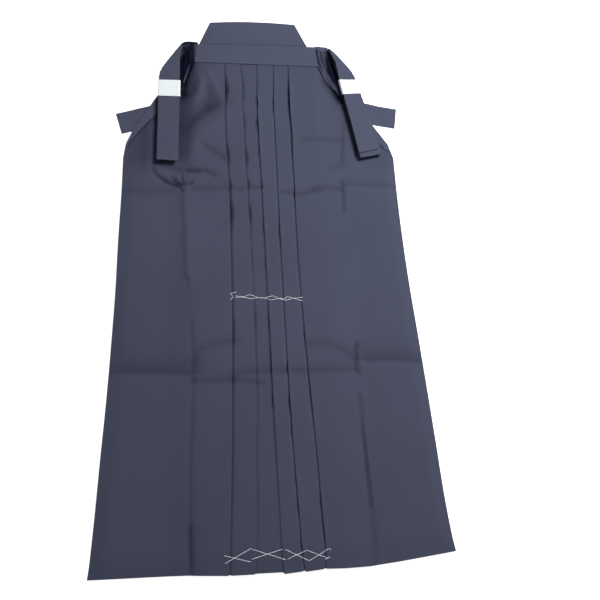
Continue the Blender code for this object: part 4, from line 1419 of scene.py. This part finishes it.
def tie_loop(line):
    """Rows round the open loop at the top of the uppermost length, from below to above."""
    shares = np.linspace(0, len(line) - 1, TIE_COLUMNS + 1)
    table = [(i, x, y) for i, (x, y) in enumerate(line)]
    points = [Vector((float(curve(table, 1, s)), float(curve(table, 2, s)), 0.0)) for s in shares]
    rows = []
    for step in range(LOOP_ROWS + 1):
        angle = -pi / 2 + pi * step / LOOP_ROWS
        inset = TIE_LOOP * cos(angle) - TIE_LOOP - TIE_WALL / 2
        height = LOOP_HEIGHT - TIE_LOOP + TIE_LOOP * sin(angle)
        row = []
        for j, point in enumerate(points):
            along = points[min(j + 1, len(points) - 1)] - points[max(j - 1, 0)]
            outward = Vector((-along.y, along.x, 0.0)).normalized()
            outward *= 1 if outward.y > 0 else -1
            row.append(tuple(point + outward * inset + Vector((0.0, 0.0, height))))
        rows.append(row)
    return rows


def flat_row(points, number):
    """A row across one of a front tie's folded lengths."""
    return [(x, y, float(tie_height(y, number))) for x, y in points]


def spread(rows):
    """The same rows, with more between those that lie far apart."""
    rows = np.array([[tuple(point) for point in row] for row in rows], float)
    filled = [rows[0]]
    for first, second in zip(rows, rows[1:]):
        steps = max(1, round(float(np.linalg.norm(second - first, axis=1).mean()) / TIE_ROW))
        filled += [first + (second - first) * step / steps for step in range(1, steps + 1)]
    return np.array(filled)


def front_tie_rows(edges, loop):
    """Rows down a front tie's turn, up and down its folded lengths, and out to its free end."""
    inner, outer = edges
    neck, foot = across_tie(inner.neck, outer.neck), across_tie(inner.foot, outer.foot)
    knee, end = up_tie(foot, neck, TIE_KNEE), across_tie(inner.top_foot, outer.top_foot)
    last = TIE_RUNS - 1
    rows = tie_turn(inner, outer)
    for number in range(last):
        if number % 2 == 0:
            step = TIE_FOOT_STEP * (last - 2 - number) / 2
            rows.append(flat_row(knee, number))
            rows += tie_fold([(x, y + step) for x, y in foot], -1, number, number + 1)
            rows.append(flat_row(knee, number + 1))
        elif number < last - 1:
            rows += tie_fold(up_tie(foot, neck, TIE_TOP_FOLDS[number // 2 % 2]), 1, number, number + 1)
    rows.append(flat_row(neck, last - 1))
    rows += tie_loop(loop)
    rows.append([(x, y, LOOP_HEIGHT) for x, y in across_tie(inner.waist, outer.waist)])
    rows.append(flat_row(neck, last))
    rows.append(flat_row(knee, last))
    rows.append(flat_row(up_tie(end, knee, TIE_FREE_END), last))
    rows.append([(x, y, z + TIE_END_LIFT) for x, y, z in flat_row(end, last)])
    return spread(rows)


class HAKAMA_OT_front_ties(bpy.types.Operator):
    """Fold up the two front ties"""

    bl_idname = "hakama.front_ties"
    bl_label = "Front Ties"

    def execute(self, context):
        for side, edges, loop in (("right", TIE_RIGHT, LOOP_RIGHT), ("left", TIE_LEFT, LOOP_LEFT)):
            rows = front_tie_rows(edges, loop)
            # Painted shade in the hollows beside the tie, and a little more over the whole of one tie.
            work = cloth_grid(rows, depths=beside_ties(rows) + TIE_SHADES[side])
            add_cloth("front_tie_" + side, work, TIE_WALL)
        return {"FINISHED"}


def paper_row(y, inner, outer):
    """Points round the folded lengths of a tie, up one side, over the face and down the other."""
    reach = TIE_WALL / 2 + GAP + PAPER / 2
    low, high = tie_height(y, 1) - reach, tie_height(y, TIE_RUNS - 1) + reach
    share = (y - inner.foot[1]) / (inner.neck[1] - inner.foot[1])
    near, far = (np.array(between(edge.foot, edge.neck, share)) for edge in (inner, outer))
    outward = (far - near) / np.linalg.norm(far - near)
    along = np.subtract(inner.neck, inner.foot)
    along = along / np.linalg.norm(along)
    levels = [(low + drop, inset) for drop, inset in PAPER_TURN]
    levels += [(high - drop, inset) for drop, inset in reversed(PAPER_TURN)]
    sides = []
    for centre, sign in ((near, -1), (far, 1)):
        side = []
        for z, inset in levels:
            slant = along * PAPER_SLANT * (high - z) / (high - low)
            clear = outward * (2 * GAP + PAPER / 2 - inset)
            side.append((*(centre + sign * clear + slant), z))
        sides.append(side)
    row = sides[0][::-1] + sides[1]
    return row + row[:1]


class HAKAMA_OT_paper_bands(bpy.types.Operator):
    """Wrap a paper band round the folded lengths of each front tie"""

    bl_idname = "hakama.paper_bands"
    bl_label = "Paper Bands"

    def execute(self, context):
        material = paper_material()
        bands = (("right", TIE_RIGHT, PAPER_BAND_RIGHT), ("left", TIE_LEFT, PAPER_BAND_LEFT))
        for side, edges, (lower, upper) in bands:
            heights = (lower + (upper - lower) * step / PAPER_ROWS for step in range(PAPER_ROWS + 1))
            work = cloth_grid([paper_row(y, *edges) for y in heights], closed=True)
            name = "paper_band_" + side
            piece = add_piece(name + "_sheet", work, material, [name])
            finish_sheet(piece, PAPER)
        return {"FINISHED"}


# ---- Tacking ----


def cloth_tops():
    """Trees that find the surface of the four front widths."""
    graph = bpy.context.evaluated_depsgraph_get()
    names = [f"front_{place}_{side}_cloth" for place in ("outer", "inner") for side in ("right", "left")]
    return [BVHTree.FromObject(bpy.data.objects[name], graph) for name in names]


def top_of(trees, x, y):
    """Height of the front's surface over a place."""
    above = Vector((x, y - MIDDLE, OVERHEAD))
    hits = [tree.ray_cast(above, Vector((0.0, 0.0, -1.0)))[0] for tree in trees]
    return max(hit.z for hit in hits if hit)


def laid_thread(stroke, trees, radius):
    """Points of one length of thread that lies on the front and goes into it at its ends."""
    points = []
    for start, end in zip(stroke, stroke[1:]):
        steps = max(2, round(hypot(end[0] - start[0], end[1] - start[1]) / THREAD_STEP))
        points += [between(start, end, step / steps) for step in range(steps)]
    points.append(stroke[-1])
    heights = [top_of(trees, x, y) + radius * THREAD_STAND for x, y in points]
    taut = [max(heights[max(i - 1, 0) : i + 2]) for i in range(len(points))]
    beside = [taut[max(i - 1, 0) : i + 2] for i in range(len(points))]
    smooth = [sum(near) / len(near) for near in beside]
    for end in (0, -1):
        smooth[end] = heights[end] - 2 * radius
    return [(x, y, z) for (x, y), z in zip(points, smooth)]


class HAKAMA_OT_tacking(bpy.types.Operator):
    """Tack the pleats down with white thread, half-way up and at the hem"""

    bl_idname = "hakama.tacking"
    bl_label = "Tacking"

    def execute(self, context):
        # Real tacking thread is about 0.4 mm thick, too fine to show, so it is drawn about twice as thick.
        radius = context.scene.hakama_shape.tacking / 2
        material = thread_material("white_thread")
        trees = cloth_tops()
        for name, strokes in (("middle_tacking", MIDDLE_TACKING), ("hem_tacking", HEM_TACKING)):
            path = bpy.data.curves.new(name, "CURVE")
            path.dimensions = "3D"
            path.bevel_depth = radius
            path.bevel_resolution = 1
            path.use_fill_caps = True
            for stroke in strokes:
                points = laid_thread(stroke, trees, radius)
                spline = path.splines.new("POLY")
                spline.points.add(len(points) - 1)
                for point, place in zip(spline.points, points):
                    point.co = (*place, 1.0)
            drawn = bpy.data.objects.new(name, path)
            context.scene.collection.objects.link(drawn)
            mesh = bpy.data.meshes.new_from_object(drawn.evaluated_get(context.evaluated_depsgraph_get()))
            bpy.data.objects.remove(drawn)
            bpy.data.curves.remove(path)
            work = bmesh.new()
            work.from_mesh(mesh)
            bpy.data.meshes.remove(mesh)
            for face in work.faces:
                face.smooth = True
            add_piece(name, work, material)
        return {"FINISHED"}


# ---- Stage ----


def lay_floor(collection):
    """A plain pale floor, just under the garment."""
    work = bmesh.new()
    bmesh.ops.create_grid(work, x_segments=1, y_segments=1, size=FLOOR_HALF)
    mesh = bpy.data.meshes.new("floor")
    work.to_mesh(mesh)
    work.free()
    mesh.materials.append(floor_material())
    floor = bpy.data.objects.new("floor", mesh)
    floor.location = (0.0, 0.0, -FLOOR_GAP)
    collection.objects.link(floor)


def studio_world():
    """Soft light from all round, strong near the horizon and weak from above."""
    world = bpy.data.worlds.new("studio")
    world.use_nodes = True
    tree, background = world.node_tree, world.node_tree.nodes["Background"]
    direction = add_node(tree, "ShaderNodeTexCoord").outputs["Generated"]
    height = add_node(tree, "ShaderNodeSeparateXYZ", {"Vector": direction}).outputs["Z"]
    span = {"Value": height, "From Min": 0.25, "From Max": 0.45, "To Min": 0.9, "To Max": 0.05}
    glow = add_node(tree, "ShaderNodeMapRange", span, interpolation_type="SMOOTHSTEP")
    light = {"Strength": glow.outputs["Result"], "Color": (*linear("#F8FBFF"), 1.0)}
    set_inputs(tree, background, light)
    return world


class HAKAMA_OT_stage(bpy.types.Operator):
    """Set the floor, the lights and the camera"""

    bl_idname = "hakama.stage"
    bl_label = "Stage"

    def execute(self, context):
        scene = context.scene
        camera = bpy.data.objects.new("camera", bpy.data.cameras.new("camera"))
        camera.location = CAMERA_PLACE
        camera.rotation_euler = [radians(turn) for turn in CAMERA_TURN]
        camera.data.lens = CAMERA_LENS
        camera.data.sensor_width = CAMERA_SENSOR
        scene.collection.objects.link(camera)
        scene.camera = camera
        lay_floor(scene.collection)
        for name, place, energy, size in LAMPS:
            lamp = bpy.data.lights.new(name, "AREA")
            lamp.energy = energy
            lamp.size = size
            lamp.shape = "SQUARE"
            light = bpy.data.objects.new(name, lamp)
            light.location = place
            light.rotation_euler = Vector(place).to_track_quat("Z", "Y").to_euler()
            scene.collection.objects.link(light)
        scene.world = studio_world()
        scene.view_settings.view_transform = "Standard"
        return {"FINISHED"}


class HAKAMA_PT_pieces(bpy.types.Panel):
    """Lists the garment's pieces and finishes"""

    bl_label = "Hakama"
    bl_idname = "HAKAMA_PT_pieces"
    bl_space_type = "VIEW_3D"
    bl_region_type = "UI"
    bl_category = "Hakama"

    def draw(self, context):
        for settings in (context.scene.hakama_shape, context.scene.hakama_finishes):
            for name in settings.__annotations__:
                self.layout.prop(settings, name)
        for operator in OPERATORS:
            self.layout.operator(operator.bl_idname)


OPERATORS = (
    HAKAMA_OT_stage,
    HAKAMA_OT_back_widths,
    HAKAMA_OT_front_widths,
    HAKAMA_OT_side_folds,
    HAKAMA_OT_front_band,
    HAKAMA_OT_back_board,
    HAKAMA_OT_back_ties,
    HAKAMA_OT_front_ties,
    HAKAMA_OT_paper_bands,
    HAKAMA_OT_tacking,
)
CLASSES = (HakamaShape, HakamaFinishes, *OPERATORS, HAKAMA_PT_pieces)


def register():
    for kind in CLASSES:
        bpy.utils.register_class(kind)
    bpy.types.Scene.hakama_shape = bpy.props.PointerProperty(type=HakamaShape)
    bpy.types.Scene.hakama_finishes = bpy.props.PointerProperty(type=HakamaFinishes)


def unregister():
    del bpy.types.Scene.hakama_finishes
    del bpy.types.Scene.hakama_shape
    for kind in reversed(CLASSES):
        bpy.utils.unregister_class(kind)


def main():
    register()
    for operator in OPERATORS:
        family, name = operator.bl_idname.split(".")
        getattr(getattr(bpy.ops, family), name)()


if __name__ == "__main__":
    main()
